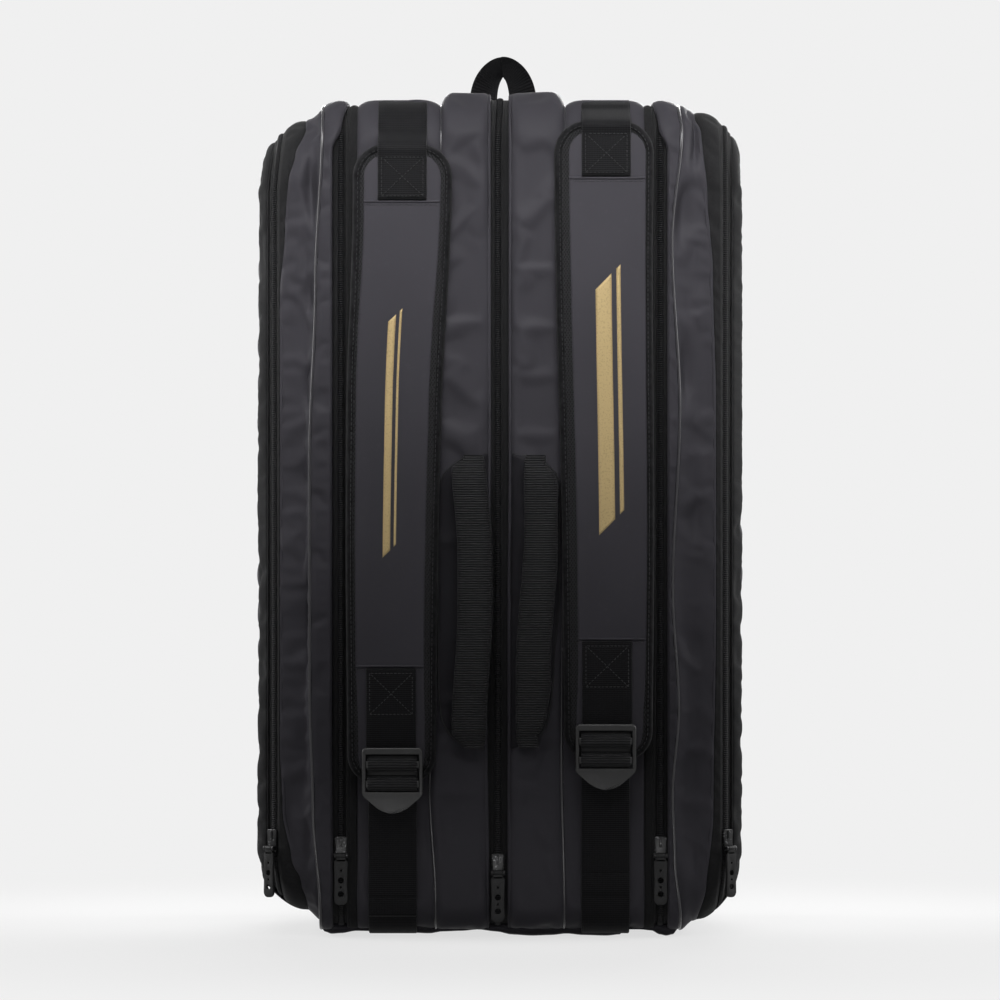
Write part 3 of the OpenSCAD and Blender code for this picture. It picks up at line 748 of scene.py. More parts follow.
mainSet = {
    # corner roundness: front base, front top, rear top, rear base
    "corners": (25 * mm, 40 * mm, 90 * mm, 40 * mm),
    "innerZip": {"left": 148.5 * mm, "right": 150 * mm}, "tapeHalf": 8 * mm, "zipFacing": 7 * mm,
    "middleZip": -2 * mm, "middleTape": 30 * mm,
    # how far a panel's ends are drawn down to the seam
    "tuck": 12 * mm,
    # distance of each seam from the middle, as (height, distance) knots up the front
    "inner": {
        "left": ((0.03, 0.060), (0.14, 0.0655), (0.45, 0.0615), (0.777, 0.055)),
        "right": ((0.03, 0.060), (0.16, 0.0575), (0.5, 0.0595), (0.777, 0.0605)),
    },
    "outer": {
        "left": (
            (0.02, 0.1675), (0.12, 0.1745), (0.23, 0.1775), (0.45, 0.1775), (0.61, 0.172), (0.76, 0.1655),
        ),
        "right": (
            (0.02, 0.1680), (0.073, 0.1630), (0.134, 0.1610), (0.213, 0.1668), (0.325, 0.1610),
            (0.493, 0.1677), (0.652, 0.1603), (0.755, 0.1695), (0.774, 0.1672),
        ),
    },
    "rear": {"inner": 0.058, "outer": 0.1693},
    # the edge of the side strip that lies over the zip
    "flap": {
        "left": ((0.03, 0.1570), (0.20, 0.1578), (0.735, 0.1575), (0.757, 0.149), (0.785, 0.141)),
        "right": ((0.03, 0.1575), (0.735, 0.1572), (0.757, 0.149), (0.785, 0.142)),
    },
    # the edge of each middle panel beside the zip
    "middle": {
        "left": ((0.05, 0.0125), (0.213, 0.0145), (0.316, 0.0125), (0.45, 0.0108), (0.777, 0.0112)),
        "right": ((0.05, 0.0096), (0.316, 0.0096), (0.45, 0.0106), (0.777, 0.0106)),
    },
}
mainLoop = Outline(*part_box("divider_left"), mainSet["corners"])

crownSet = {
    # how far each panel stands off its seams on the front and on the top, and how boxy it is
    "center": (4.5 * mm, 12 * mm, 10), "strap": (2.6 * mm, 6 * mm, 6), "strip": (2.2 * mm, 4.6 * mm, 4),
    "facing": (0.6 * mm, 2.0 * mm, 2), "rear": (5 * mm, 5 * mm, 2), "baseShare": 0.4,
}


def zipRise(s):
    # 0 on the front, 1 on the top, where the middle zip is level with the panels beside it
    return smoothStep(s, *mainLoop.marks["frontTop"])


def middleRise(s):
    # how far the panels beside the middle zip stand up at it, on the top
    return zipRise(s) * crownAt("center", s, 0.0)


def crownAt(kind, s, t):
    # the height of a panel's swell at s along the loop and t across it
    front, top, boxy = crownSet[kind]
    rise = front + (top - front) * zipRise(s)
    if s < mainLoop.marks["top"][0]:
        early = smoothStep(s, mainLoop.marks["frontBase"][0], mainLoop.marks["front"][0])
        rise *= crownSet["baseShare"] + (1 - crownSet["baseShare"]) * early
    if kind == "strip":
        return rise * (1 - t ** boxy)
    drop = abs(2 * t - 1) ** boxy
    if kind == "center" and t < 0.5:
        drop *= 1 - zipRise(s)
    return rise * (1 - drop)


def seamDistance(seam, side, s):
    # from the middle of the bag to a seam, s along the main loop
    topStart, topEnd = mainLoop.marks["top"]
    frontValue = alongCurve(mainSet[seam][side], mainLoop.at(min(s, topStart))[1])
    return frontValue + (mainSet["rear"][seam] - frontValue) * smoothStep(s, topStart, topEnd)


def edgeOf(edge, side, s):
    # the flap's or the middle panel's edge, from the middle of the bag
    return alongCurve(mainSet[edge][side], mainLoop.at(min(s, mainLoop.marks["top"][0]))[1])


def onMain(x, s, lift=0.0):
    y, z, ny, nz = mainLoop.at(s)
    return Vector((x, y + ny * lift, z + nz * lift))


def mainOutward(s):
    _, _, ny, nz = mainLoop.at(s)
    return Vector((0, ny, nz))


pocketSet = {
    "corners": (52 * mm, 62 * mm, 86 * mm, 52 * mm), "edgeRadius": 44 * mm, "flat": 12.7 * mm,
    "halfWidth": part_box("flank_panel_right")[1].x, "channelDepth": 2.5 * mm, "channelPitch": 36 * mm,
    # how far the pocket narrows towards its top and bottom
    "topTaper": {"left": 8 * mm, "right": 1 * mm}, "baseTaper": 9 * mm,
    # how far its ends are lifted, the share of that at the wall seam, and the reach to the full lift
    "topLift": {"left": 1.5 * mm, "right": 10 * mm}, "wallShare": 0.3, "liftReach": 0.35,
    "baseLift": {"left": 5 * mm, "right": -5 * mm},
    "zipAngle": 45.0, "seamClearance": 1.2 * mm, "leastFront": 4 * mm,
    # distance of the coated front's curved outer seam from the middle, as (height, distance)
    "frontSeam": {
        "left": (
            (0.026, 0.182), (0.050, 0.187), (0.073, 0.195), (0.12, 0.203), (0.20, 0.2065), (0.60, 0.2055),
            (0.66, 0.2005), (0.708, 0.198), (0.731, 0.193), (0.755, 0.184),
        ),
        "right": (
            (0.013, 0.186), (0.050, 0.194), (0.12, 0.199), (0.30, 0.2015), (0.50, 0.2015), (0.62, 0.1985),
            (0.70, 0.193), (0.745, 0.1885), (0.76, 0.183),
        ),
    },
    # hollows in the front: height, distance from the wall seam, depth, reach up and down, reach across
    "hollows": {
        "left": (
            (0.70, 4, 11.0, 44, 12), (0.60, 4, 6.0, 26, 11), (0.515, 5, 6.0, 30, 12), (0.43, 12, 3.2, 24, 13),
            (0.30, 4, 4.5, 60, 9), (0.09, 6, 4.0, 30, 10),
        ),
        "right": (
            (0.735, 13, 6.0, 28, 8), (0.675, 3, 8.0, 44, 9), (0.53, 4, 9.0, 50, 9), (0.39, 14, 4.0, 26, 10),
            (0.27, 16, 4.0, 22, 11), (0.15, 10, 4.0, 28, 9), (0.07, 16, 3.0, 26, 10),
        ),
    },
}
pocketLow = Vector((0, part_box("pocket_front_left")[0].y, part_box("pocket_rear_left")[0].z))
pocketHigh = Vector((0, -pocketLow.y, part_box("pocket_front_left")[1].z))
pocketLoop = Outline(pocketLow, pocketHigh, pocketSet["corners"])
pocketEdgeX = pocketSet["halfWidth"] - pocketSet["edgeRadius"]
tapeSweep = mainSet["tapeHalf"] / pocketSet["edgeRadius"]
zipTurn = math.radians(pocketSet["zipAngle"])
frontArc = pocketSet["flat"] + (zipTurn - tapeSweep) * pocketSet["edgeRadius"]
gussetArc = pocketSet["flat"] + (zipTurn + tapeSweep) * pocketSet["edgeRadius"]
fullArc = pocketSet["flat"] + turn / 4 * pocketSet["edgeRadius"]


def shapePocket(side, x, y, z, inner):
    # narrows the pocket towards its top and base, and lifts its ends
    low, high = pocketLow.z, pocketHigh.z
    span = max(0.0, (x - inner) / (pocketSet["halfWidth"] - inner))
    narrow = pocketSet["topTaper"][side] * smoothStep(z, high - 0.074, high + 0.006)
    narrow += pocketSet["baseTaper"] * (1 - smoothStep(z, low - 0.02, low + 0.065))
    least, reach = pocketSet["wallShare"], pocketSet["liftReach"]
    share = least + (1 - least) * smoothStep(span, 0.0, reach)
    lift = pocketSet["topLift"][side] * share * smoothStep(z, high - 0.06, high)
    lift += pocketSet["baseLift"][side] * (1 - smoothStep(z, low, low + 0.065))
    return Vector((sides[side] * (x - narrow * span), y, z + lift))


def pocketSection(s, d, side):
    # distance from the middle, depth and outward lean, d metres across from the wall seam
    _, height, ny, nz = pocketLoop.at(s)
    onRear = smoothStep(s, *pocketLoop.marks["top"])
    wall = alongCurve(mainSet["outer"][side], height) * (1 - onRear) + mainSet["rear"]["outer"] * onRear
    if s > pocketLoop.marks["rearBase"][1]:
        wall = mainSet["rear"]["outer"]
    if d < pocketSet["flat"]:
        share = d / pocketSet["flat"]
        step = mainLoop.high[1] - pocketHigh.z if nz > 0 else pocketLow.z - mainLoop.low[1]
        rise = (pocketLow.y - mainLoop.low[0]) * ny ** 2 + step * nz ** 2
        return wall + (pocketEdgeX - wall) * share, rise * (1 - share) ** 1.5, 0.0, wall
    angle = (d - pocketSet["flat"]) / pocketSet["edgeRadius"]
    radius = pocketSet["edgeRadius"]
    return pocketEdgeX + radius * math.sin(angle), radius * (math.cos(angle) - 1), angle, wall


def frontSeam(side, s):
    # where the coated front ends, as a distance across from the wall seam
    x = alongCurve(pocketSet["frontSeam"][side], pocketLoop.at(s)[1])
    if x < pocketEdgeX:
        wall = pocketSection(s, 0.0, side)[3]
        return max(pocketSet["leastFront"], pocketSet["flat"] * (x - wall) / (pocketEdgeX - wall))
    angle = math.asin(min(1.0, (x - pocketEdgeX) / pocketSet["edgeRadius"]))
    return min(pocketSet["flat"] + angle * pocketSet["edgeRadius"], frontArc - pocketSet["seamClearance"])


def frontHollow(side, s, d):
    # how deep the front has sunk in at s and d
    height, depth = pocketLoop.at(s)[1], 0.0
    for z, across, deep, tall, wide in pocketSet["hollows"][side]:
        reach = ((height - z) / (tall * mm)) ** 2 + ((d - across * mm) / (wide * mm)) ** 2
        if reach < 1:
            depth += deep * mm * (1 - reach) ** 2
    return depth


def onPocket(side, s, d, lift=0.0):
    y, z, ny, nz = pocketLoop.at(s)
    x, depth, angle, wall = pocketSection(s, d, side)
    x += lift * math.sin(angle)
    depth += lift * math.cos(angle)
    return shapePocket(side, x, y + ny * depth, z + nz * depth, wall)


def pocketOutward(side, s, d):
    _, _, ny, nz = pocketLoop.at(s)
    angle = pocketSection(s, d, side)[2]
    return Vector((sides[side] * math.sin(angle), ny * math.cos(angle), nz * math.cos(angle)))


print("panels")

panelSet = {
    "cell": 5 * mm, "thickness": 1.6 * mm, "frames": 20, "pressure": 4.0,
    # swell, finish, seed, growth of the cloth, cap on its travel and depth of its creases
    "center_panel": ("center", "coated", 0, 0.03, 2.5 * mm, 1.2 * mm),
    "strap_panel": ("strap", "coated", 1, 0.02, 2.2 * mm, 0.8 * mm),
    "zip_facing": ("facing", "nylon", 9, 0.01, 0.6 * mm, 0.4 * mm),
    "side_strip": ("strip", "coated", 2, 0.06, 1.8 * mm, 0.6 * mm),
    "rear_panel": ("rear", "coated", 3, 0.015, 5 * mm, 2 * mm),
    "pocket_front": (0.5 * mm, "coated", 4, 0.035, 2.6 * mm, 2.2 * mm),
    "pocket_facing": (0.0, "nylon", 7, 0.03, 1.5 * mm, 0.8 * mm),
    "pocket_gusset": (0.0, "nylon", 5, 0.05, 2.6 * mm, 1.6 * mm),
    "pocket_rear": (0.5 * mm, "coated", 6, 0.02, 4 * mm, 2.5 * mm),
    # the first seed of each side, and of the middle rear panel
    "seeds": {"left": 3, "right": 8, "center": 18},
}
clothSet = {
    "quality": 5, "mass": 0.25, "tension_stiffness": 18, "compression_stiffness": 18, "shear_stiffness": 6,
    "bending_stiffness": 1.5, "vertex_group_mass": "sewn", "use_pressure": True,
    "uniform_pressure_force": panelSet["pressure"],
}
softPanels = []


def creaseLift(point, seed, size):
    # slow uneven folds, longer upright than across
    place = Vector((point.x * 26, point.y * 14, point.z * 7)) + Vector((seed * 3.7, seed * 1.3, seed))
    return noise.noise(place) * size


def makePanel(kind, side, spot, length, width, flip):
    # a sewn panel: spot(s, t) gives a point and its outward direction; all four edges are seams
    _, finish, seed, growth, cap, crease = panelSet[kind]
    seed += panelSet["seeds"][side]
    rows = max(8, round(length / panelSet["cell"]))
    cols = max(4, round(width / panelSet["cell"]))
    verts, uvs, sewn = [], [], []
    for i in range(rows + 1):
        for j in range(cols + 1):
            s, t = i / rows, j / cols
            point, outward = spot(s, t)
            edge = min(1.0, 4 * t * (1 - t) * 1.4)
            verts.append(point + outward * (creaseLift(point, seed, crease) * edge))
            uvs.append((t * width, s * length))
            if i in (0, rows) or j in (0, cols):
                sewn.append(len(verts) - 1)
    piece = link(f"{kind}_skin_{side}", verts, gridFaces(rows, cols, flip), uvs, finish)
    softPanels.append({"piece": piece, "sewn": sewn, "growth": growth, "cap": cap})
    return piece


def inflatePanels():
    # all panels swell together as cloth held at its seams, and each point's travel is capped
    scene = bpy.context.scene
    for panel in softPanels:
        piece = panel["piece"]
        panel["start"] = [v.co.copy() for v in piece.data.vertices]
        held = piece.vertex_groups.new(name="sewn")
        held.add(panel["sewn"], 1.0, "REPLACE")
        cloth = piece.modifiers.new("Cloth", "CLOTH")
        for setting, value in clothSet.items():
            setattr(cloth.settings, setting, value)
        cloth.settings.shrink_min = -panel["growth"]
        cloth.settings.effector_weights.gravity = 0
        cloth.collision_settings.use_collision = False
        cloth.point_cache.frame_start = 1
        cloth.point_cache.frame_end = panelSet["frames"]
    for step in range(1, panelSet["frames"] + 1):
        scene.frame_set(step)
    for panel in softPanels:
        applyModifiers(panel["piece"])
        for vertex, start in zip(panel["piece"].data.vertices, panel["start"]):
            travel = vertex.co - start
            if travel.length > panel["cap"]:
                vertex.co = start + travel.normalized() * panel["cap"]
    scene.frame_set(1)
    for panel in softPanels:
        thicken(panel["piece"], panelSet["thickness"])


def mainPanel(kind, side, edgeIn, edgeOut, span):
    # a panel on the main body; edgeIn and edgeOut give the distance from the middle at s
    s0, s1 = span
    width = abs(edgeOut(s0) - edgeIn(s0))
    sign = sides.get(side, 1)

    def spot(s, t):
        at = s0 + (s1 - s0) * s
        x = edgeIn(at) + (edgeOut(at) - edgeIn(at)) * t
        tuck = min(1.0, min(s, 1 - s) * (s1 - s0) / mainSet["tuck"])
        return onMain(sign * x, at, crownAt(panelSet[kind][0], at, t) * tuck), mainOutward(at)

    return makePanel(kind, side, spot, s1 - s0, width, sign > 0)


def pocketPanel(kind, side, edgeIn, edgeOut, span):
    # a panel round the pocket's edge, between two distances from the wall seam at s
    s0, s1 = span
    middle = (s0 + s1) / 2

    def spot(s, t):
        at = s0 + (s1 - s0) * s
        d = edgeIn(at) + (edgeOut(at) - edgeIn(at)) * t
        lift = panelSet[kind][0] * 4 * t * (1 - t) - frontHollow(side, at, d) * min(1.0, 14 * t * (1 - t))
        return onPocket(side, at, d, lift), pocketOutward(side, at, d)

    width = edgeOut(middle) - edgeIn(middle)
    return makePanel(kind, side, spot, s1 - s0, width, sides[side] > 0)


frontSpan = (mainLoop.marks["frontBase"][0], mainLoop.marks["top"][1])
rearSpan = (mainLoop.marks["rearTop"][0], mainLoop.marks["rearBase"][1])
pocketFrontSpan = (pocketLoop.marks["frontBase"][0], pocketLoop.marks["top"][1])
pocketRearSpan = (pocketLoop.marks["rearTop"][0], pocketLoop.marks["base"][1])


def level(distance):
    # an edge that keeps one distance all along
    return lambda s: distance


def makeBodyPanels():
    made = {}
    for side in sides:
        tapeEdge = mainSet["innerZip"][side] - mainSet["tapeHalf"]
        zipIn, facing = level(tapeEdge), level(tapeEdge - mainSet["zipFacing"])
        inner, outer = [lambda s, seam=seam: seamDistance(seam, side, s) for seam in ("inner", "outer")]
        middle, flap = [lambda s, edge=edge: edgeOf(edge, side, s) for edge in ("middle", "flap")]
        seam = lambda s: frontSeam(side, s)
        for maker, kind, edgeIn, edgeOut, span in (
            (mainPanel, "center_panel", middle, inner, frontSpan),
            (mainPanel, "strap_panel", inner, facing, frontSpan),
            (mainPanel, "zip_facing", facing, zipIn, frontSpan),
            (mainPanel, "side_strip", flap, outer, frontSpan),
            (mainPanel, "rear_panel", inner, outer, rearSpan),
            (pocketPanel, "pocket_front", level(0.0), seam, pocketFrontSpan),
            (pocketPanel, "pocket_facing", seam, level(frontArc), pocketFrontSpan),
            (pocketPanel, "pocket_gusset", level(gussetArc), level(fullArc), pocketFrontSpan),
            (pocketPanel, "pocket_rear", level(0.0), level(fullArc), pocketRearSpan),
        ):
            made[f"{kind}_{side}"] = maker(kind, side, edgeIn, edgeOut, span)
    rearHalf = mainSet["rear"]["inner"]
    made["rear_panel_center"] = mainPanel("rear_panel", "center", level(-rearHalf), level(rearHalf), rearSpan)
    return made


flankSet = {
    "rowsPerChannel": 8, "columns": 48, "dome": 2.0 * mm, "rise": 1.2 * mm, "wave": 0.8 * mm,
    "growth": 0.045, "cap": 4.2 * mm,
}


def makeFlank(side):
    # a quilted side: pillows between sewn channels that run from front to rear
    inset = pocketSet["edgeRadius"]
    low = pocketLow + Vector((0, inset, inset))
    high = pocketHigh - Vector((0, inset, inset))
    loop = Outline(low, high, [corner - inset for corner in pocketSet["corners"]])
    pitch = pocketSet["channelPitch"]
    count = int((high.z - low.z) // pitch)
    first = (low.z + high.z - count * pitch) / 2
    steps = flankSet["rowsPerChannel"]
    heights = [low.z] + [first + pitch * k / steps for k in range(count * steps + 1)] + [high.z]
    sign, cols = sides[side], flankSet["columns"]
    outer = pocketSet["halfWidth"] - pocketSet["channelDepth"] * 0.6
    verts, uvs, sewn = [], [], []
    for i, z in enumerate(heights):
        y0, y1 = loop.rowEnds(z)
        inPillow = 0 if i in (0, len(heights) - 1) else math.sin(turn / 2 * ((i - 1) % steps) / steps)
        channel = i > 0 and (i - 1) % steps == 0
        for j in range(cols + 1):
            t = j / cols
            y = y0 + (y1 - y0) * t
            edge = min(1.0, 6 * t * (1 - t))
            middle = math.sin(turn / 2 * (z - low.z) / (high.z - low.z)) * edge
            wave = noise.noise(Vector((y * 20, z * 12, sign * 5.0))) * flankSet["wave"] * edge
            x = outer + flankSet["dome"] * middle + flankSet["rise"] * inPillow * edge + wave
            rim = i in (0, len(heights) - 1) or j in (0, cols)
            if rim:
                x = pocketSet["halfWidth"]
            verts.append(shapePocket(side, x, y, z, mainSet["rear"]["outer"]))
            uvs.append((y, z))
            if rim or channel:
                sewn.append(len(verts) - 1)
    piece = link("flank_skin_" + side, verts, gridFaces(len(heights) - 1, cols, sign < 0), uvs, "quilted")
    softPanels.append({"piece": piece, "sewn": sewn, "growth": flankSet["growth"], "cap": flankSet["cap"]})
    return piece, loop


bodyPanels = makeBodyPanels()
flanks = {side: makeFlank(side) for side in sides}
inflatePanels()
for node, piece in bodyPanels.items():
    if "facing" in node:
        settle(piece, "bag", "gusset_nylon")
    else:
        settle(piece, "bag", "gusset_nylon" if "gusset" in node else "coated_fabric", node)
for side, (piece, loop) in flanks.items():
    settle(piece, "bag", "quilted_fabric", "flank_panel_" + side)

print("piping and seams")

pipingSet = {
    "inner": 1.5 * mm, "outer": 1.6 * mm, "seat": 0.9, "step": 6 * mm,
    # width and height of a fold, and where folds lie across their edges and above the cloth
    "fold": (4.0 * mm, 2.4 * mm), "flatFold": (5.0 * mm, 1.3 * mm), "flankSeam": (3.6 * mm, 2.2 * mm),
    "middleInset": 0.6 * mm, "inset": 1 * mm, "lift": 0.3 * mm, "pocketLift": 0.2 * mm,
    "flapDrop": 0.7 * mm, "flapStep": 4 * mm, "sway": 1.3 * mm,
}


def loopStations(xOf, lift, span, step):
    s0, s1 = span
    count = max(4, round((s1 - s0) / step))
    stations = []
    for k in range(count + 1):
        s = s0 + (s1 - s0) * k / count
        point = onMain(xOf(s), s, lift(s) if callable(lift) else lift)
        stations.append((point, rightwards, mainOutward(s), s))
    return stations


def pocketStations(side, dOf, lift, span, step):
    s0, s1 = span
    count = max(4, round((s1 - s0) / step))
    places = [s0 + (s1 - s0) * k / count for k in range(count + 1)]
    points = [onPocket(side, s, dOf(s), lift(s) if callable(lift) else lift) for s in places]
    stations = []
    for s, point, ahead in zip(places, points, headings(points)):
        outward = pocketOutward(side, s, dOf(s))
        stations.append((point, ahead.cross(outward).normalized(), outward, s))
    return stations


wholeSpan = (mainLoop.marks["frontBase"][0], mainLoop.marks["rearBase"][1])
for side, sign in sides.items():
    for seam in ("inner", "outer"):
        radius = pipingSet[seam]
        xOf = lambda s: sign * seamDistance(seam, side, s)
        stations = loopStations(xOf, radius * pipingSet["seat"], wholeSpan, pipingSet["step"])
        piece = sweep(f"{seam}_piping_cord_{side}", stations, roundSection(2 * radius, 2 * radius), "piping")
        settle(piece, "bag", "piping_cover", f"{seam}_piping_{side}")

foldSlots = {"coated": "coated_fabric", "nylon": "gusset_nylon"}


def makeFold(name, stations, section, finish):
    # a rounded fold of the cloth beside a zip
    settle(sweep(name, stations, section, finish), "bag", foldSlots[finish])


foldSection, flatFold = [roundSection(*pipingSet[kind]) for kind in ("fold", "flatFold")]
for side, sign in sides.items():
    inset = pipingSet["inset"]
    wobble = 3.0 if sign > 0 else 9.0
    facingEdge = mainSet["innerZip"][side] - mainSet["tapeHalf"] + inset
    zipEdges = {
        "center": lambda s: edgeOf("middle", side, s) - pipingSet["middleInset"],
        "in": lambda s: facingEdge + noise.noise(Vector((s * 9, wobble, 5.6))) * pipingSet["sway"],
    }
    for place, xOf in zipEdges.items():
        rise = lambda s: pipingSet["lift"] + (middleRise(s) if place == "center" else 0.0)
        stations = loopStations(lambda s: sign * xOf(s), rise, frontSpan, pipingSet["step"])
        makeFold(f"zip_fold_{place}_{side}", stations, foldSection, "nylon" if place == "in" else "coated")
    # the side strip's folded edge, over the zip tape
    flapEdge = lambda s: sign * (edgeOf("flap", side, s) + inset)
    flapLift = lambda s: crownAt("strip", s, 0.0) - pipingSet["flapDrop"]
    stations = loopStations(flapEdge, flapLift, frontSpan, pipingSet["flapStep"])
    makeFold("zip_flap_" + side, stations, foldSection, "coated")
    for place, dOf, section, finish in (
        ("seam", lambda s: frontSeam(side, s) - inset, foldSection, "coated"),
        ("front", level(frontArc - inset), flatFold, "nylon"),
        ("gusset", level(gussetArc + inset), flatFold, "nylon"),
    ):
        stations = pocketStations(side, dOf, pipingSet["pocketLift"], pocketFrontSpan, pipingSet["step"])
        makeFold(f"pocket_fold_{place}_{side}", stations, section, finish)
    # the bound seam round the quilted flank
    loop = flanks[side][1]
    count = round(loop.length / pipingSet["step"])
    distances = [loop.length * k / count for k in range(count)]
    spots = [loop.at(distance) for distance in distances]
    half, rearOuter = pocketSet["halfWidth"], mainSet["rear"]["outer"]
    points = [shapePocket(side, half, y, z, rearOuter) for y, z, _, _ in spots]
    outward = rightwards * sign
    stations = [
        (point, ahead.cross(outward).normalized(), outward, distance)
        for point, ahead, distance in zip(points, headings(points, closedLoop=True), distances)
    ]
    section = roundSection(*pipingSet["flankSeam"], 8)
    piece = sweep("flank_seam_" + side, stations, section, "piping", closedLoop=True)
    settle(piece, "bag", "piping_cover")

print("zips")

zipSet = {
    "tapeThickness": 1.2 * mm, "tapeDepth": 2.8 * mm, "pitch": 2.0 * mm,
    "toothWidth": 6.6 * mm, "toothThickness": 1.25 * mm, "coilTop": 0.8 * mm, "slant": 0.35 * mm,
    "pocketLift": 1.1 * mm, "pocketTopLift": 2.0 * mm, "middleDrop": 1.2 * mm,
}


def toothRing(half, top, bottom, count=7):
    # a tooth's centre line: up, across the top and down again
    ring = []
    for k in range(count):
        angle = turn / 2 * k / (count - 1)
        ring.append((half * math.cos(angle), bottom + (top - bottom) * math.sin(angle) ** 0.6))
    return ring


def makeCoil(name, stations):
    # teeth across the tape, each a bent rod of a few faces, slightly slanted like a wound coil
    half = zipSet["toothWidth"] / 2
    thick = zipSet["toothThickness"] / 2
    line = toothRing(half - thick, -zipSet["coilTop"] - thick, -zipSet["tapeDepth"])
    verts, faces, uvs = [], [], []
    for origin, across, outward, distance in stations:
        ahead = outward.cross(across).normalized()
        faces += tubeFaces(len(line), 4, len(verts))
        for a, o in line:
            middle = origin + across * a + outward * o + ahead * (zipSet["slant"] * a / half)
            lean = a / half
            for da, along in ((thick, 0.0), (0.0, thick), (-thick, 0.0), (0.0, -thick)):
                verts.append(middle + (outward * (1 - abs(lean)) + across * lean) * da + ahead * along)
                uvs.append((a, distance))
    piece = link(name, verts, faces, uvs, "coil")
    pointOutwards(piece)
    return settle(piece, "bag", "zip_tape")


def makeZip(name, stationsAt, width=2 * mainSet["tapeHalf"]):
    # a zip's tape and coil; stationsAt gives stations along the zip at a step
    section = [(a, o - zipSet["tapeDepth"] - zipSet["tapeThickness"] / 2)
               for a, o in bandSection(width, zipSet["tapeThickness"])]
    tape = sweep(name + "_tape", stationsAt(pipingSet["step"]), section, "tape")
    settle(tape, "bag", "zip_tape", name)
    makeCoil(name + "_coil", stationsAt(zipSet["pitch"]))


middleLift = lambda s: zipRise(s) * (crownAt("center", s, 0.0) - zipSet["middleDrop"])
middleX = lambda s: mainSet["middleZip"] * (1 - zipRise(s))
makeZip("center_zip", lambda step: loopStations(middleX, middleLift, frontSpan, step), mainSet["middleTape"])
pocketX = level((frontArc + gussetArc) / 2)
pocketTurn = pocketLoop.marks["frontTop"]
pocketRise = lambda s: zipSet["pocketLift"] + zipSet["pocketTopLift"] * smoothStep(s, *pocketTurn)
for side, sign in sides.items():
    innerX = level(sign * mainSet["innerZip"][side])
    makeZip("inner_zip_" + side, lambda step: loopStations(innerX, 0.0, frontSpan, step))
    makeZip("pocket_zip_" + side,
            lambda step: pocketStations(side, pocketX, pocketRise, pocketFrontSpan, step))

print("linings, board and base")


liningSet = {"inset": 2.5 * mm, "rows": 60, "columns": 16, "sag": 1.5 * mm, "thickness": 1.0 * mm}


def makeLining(name, node, seam, side):
    # a lining wall from the front seam to the rear seam, a little inside the outline
    inset, rows, cols = liningSet["inset"], liningSet["rows"], liningSet["columns"]
    verts, uvs = [], []
    low, high = mainLoop.low, mainLoop.high
    for i in range(rows + 1):
        z = low[1] + inset + (high[1] - low[1] - 2 * inset) * i / rows
        y0, y1 = mainLoop.rowEnds(z)
        front = alongCurve(mainSet[seam][side], z)
        for j in range(cols + 1):
            t = j / cols
            y = y0 + inset + (y1 - y0 - 2 * inset) * t
            sag = noise.noise(Vector((y * 9, z * 7, front * 30))) * liningSet["sag"]
            x = front + (mainSet["rear"][seam] - front) * t + sag * 4 * t * (1 - t)
            verts.append((sides[side] * x, y, z))
            uvs.append((y, z))
    piece = link(name, verts, gridFaces(rows, cols, sides[side] < 0), uvs, "lining")
    thicken(piece, liningSet["thickness"], 0)
    settle(piece, "bag", "lining_fabric", node)


for side in sides:
    makeLining("divider_sheet_" + side, "divider_" + side, "inner", side)
    makeLining("pocket_lining_" + side, "pocket_wall_" + side, "outer", side)
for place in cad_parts["base_board"].material_slots:
    place.material = finishes["board"]

baseSet = {
    "reachY": 3 * mm, "round": 9 * mm, "rows": 60, "columns": 120, "sag": 0.8 * mm,
    # how high the edge stands up round the walls, and the two distances between which that ends
    "collar": 4 * mm, "collarEnd": (12 * mm, 20 * mm),
    # the underside seen from the front, as (distance across, height): it sags between its seams
    "lobes": (
        (-0.168, 0.0080), (-0.164, 0.0037), (-0.158, 0.0018), (-0.149, 0.0024), (-0.135, 0.0046),
        (-0.093, 0.0034), (-0.066, 0.0022), (-0.054, 0.0040), (-0.036, 0.0046), (-0.0205, 0.0060),
        (-0.004, 0.0040), (0.012, 0.0010), (0.030, 0.0), (0.048, 0.0006), (0.0626, 0.0020),
        (0.078, 0.0006), (0.100, 0.0), (0.1125, 0.0012), (0.118, 0.0060), (0.131, 0.0060),
        (0.142, 0.0050), (0.150, 0.0012), (0.156, 0.0), (0.162, 0.0012), (0.168, 0.0078),
    ),
}


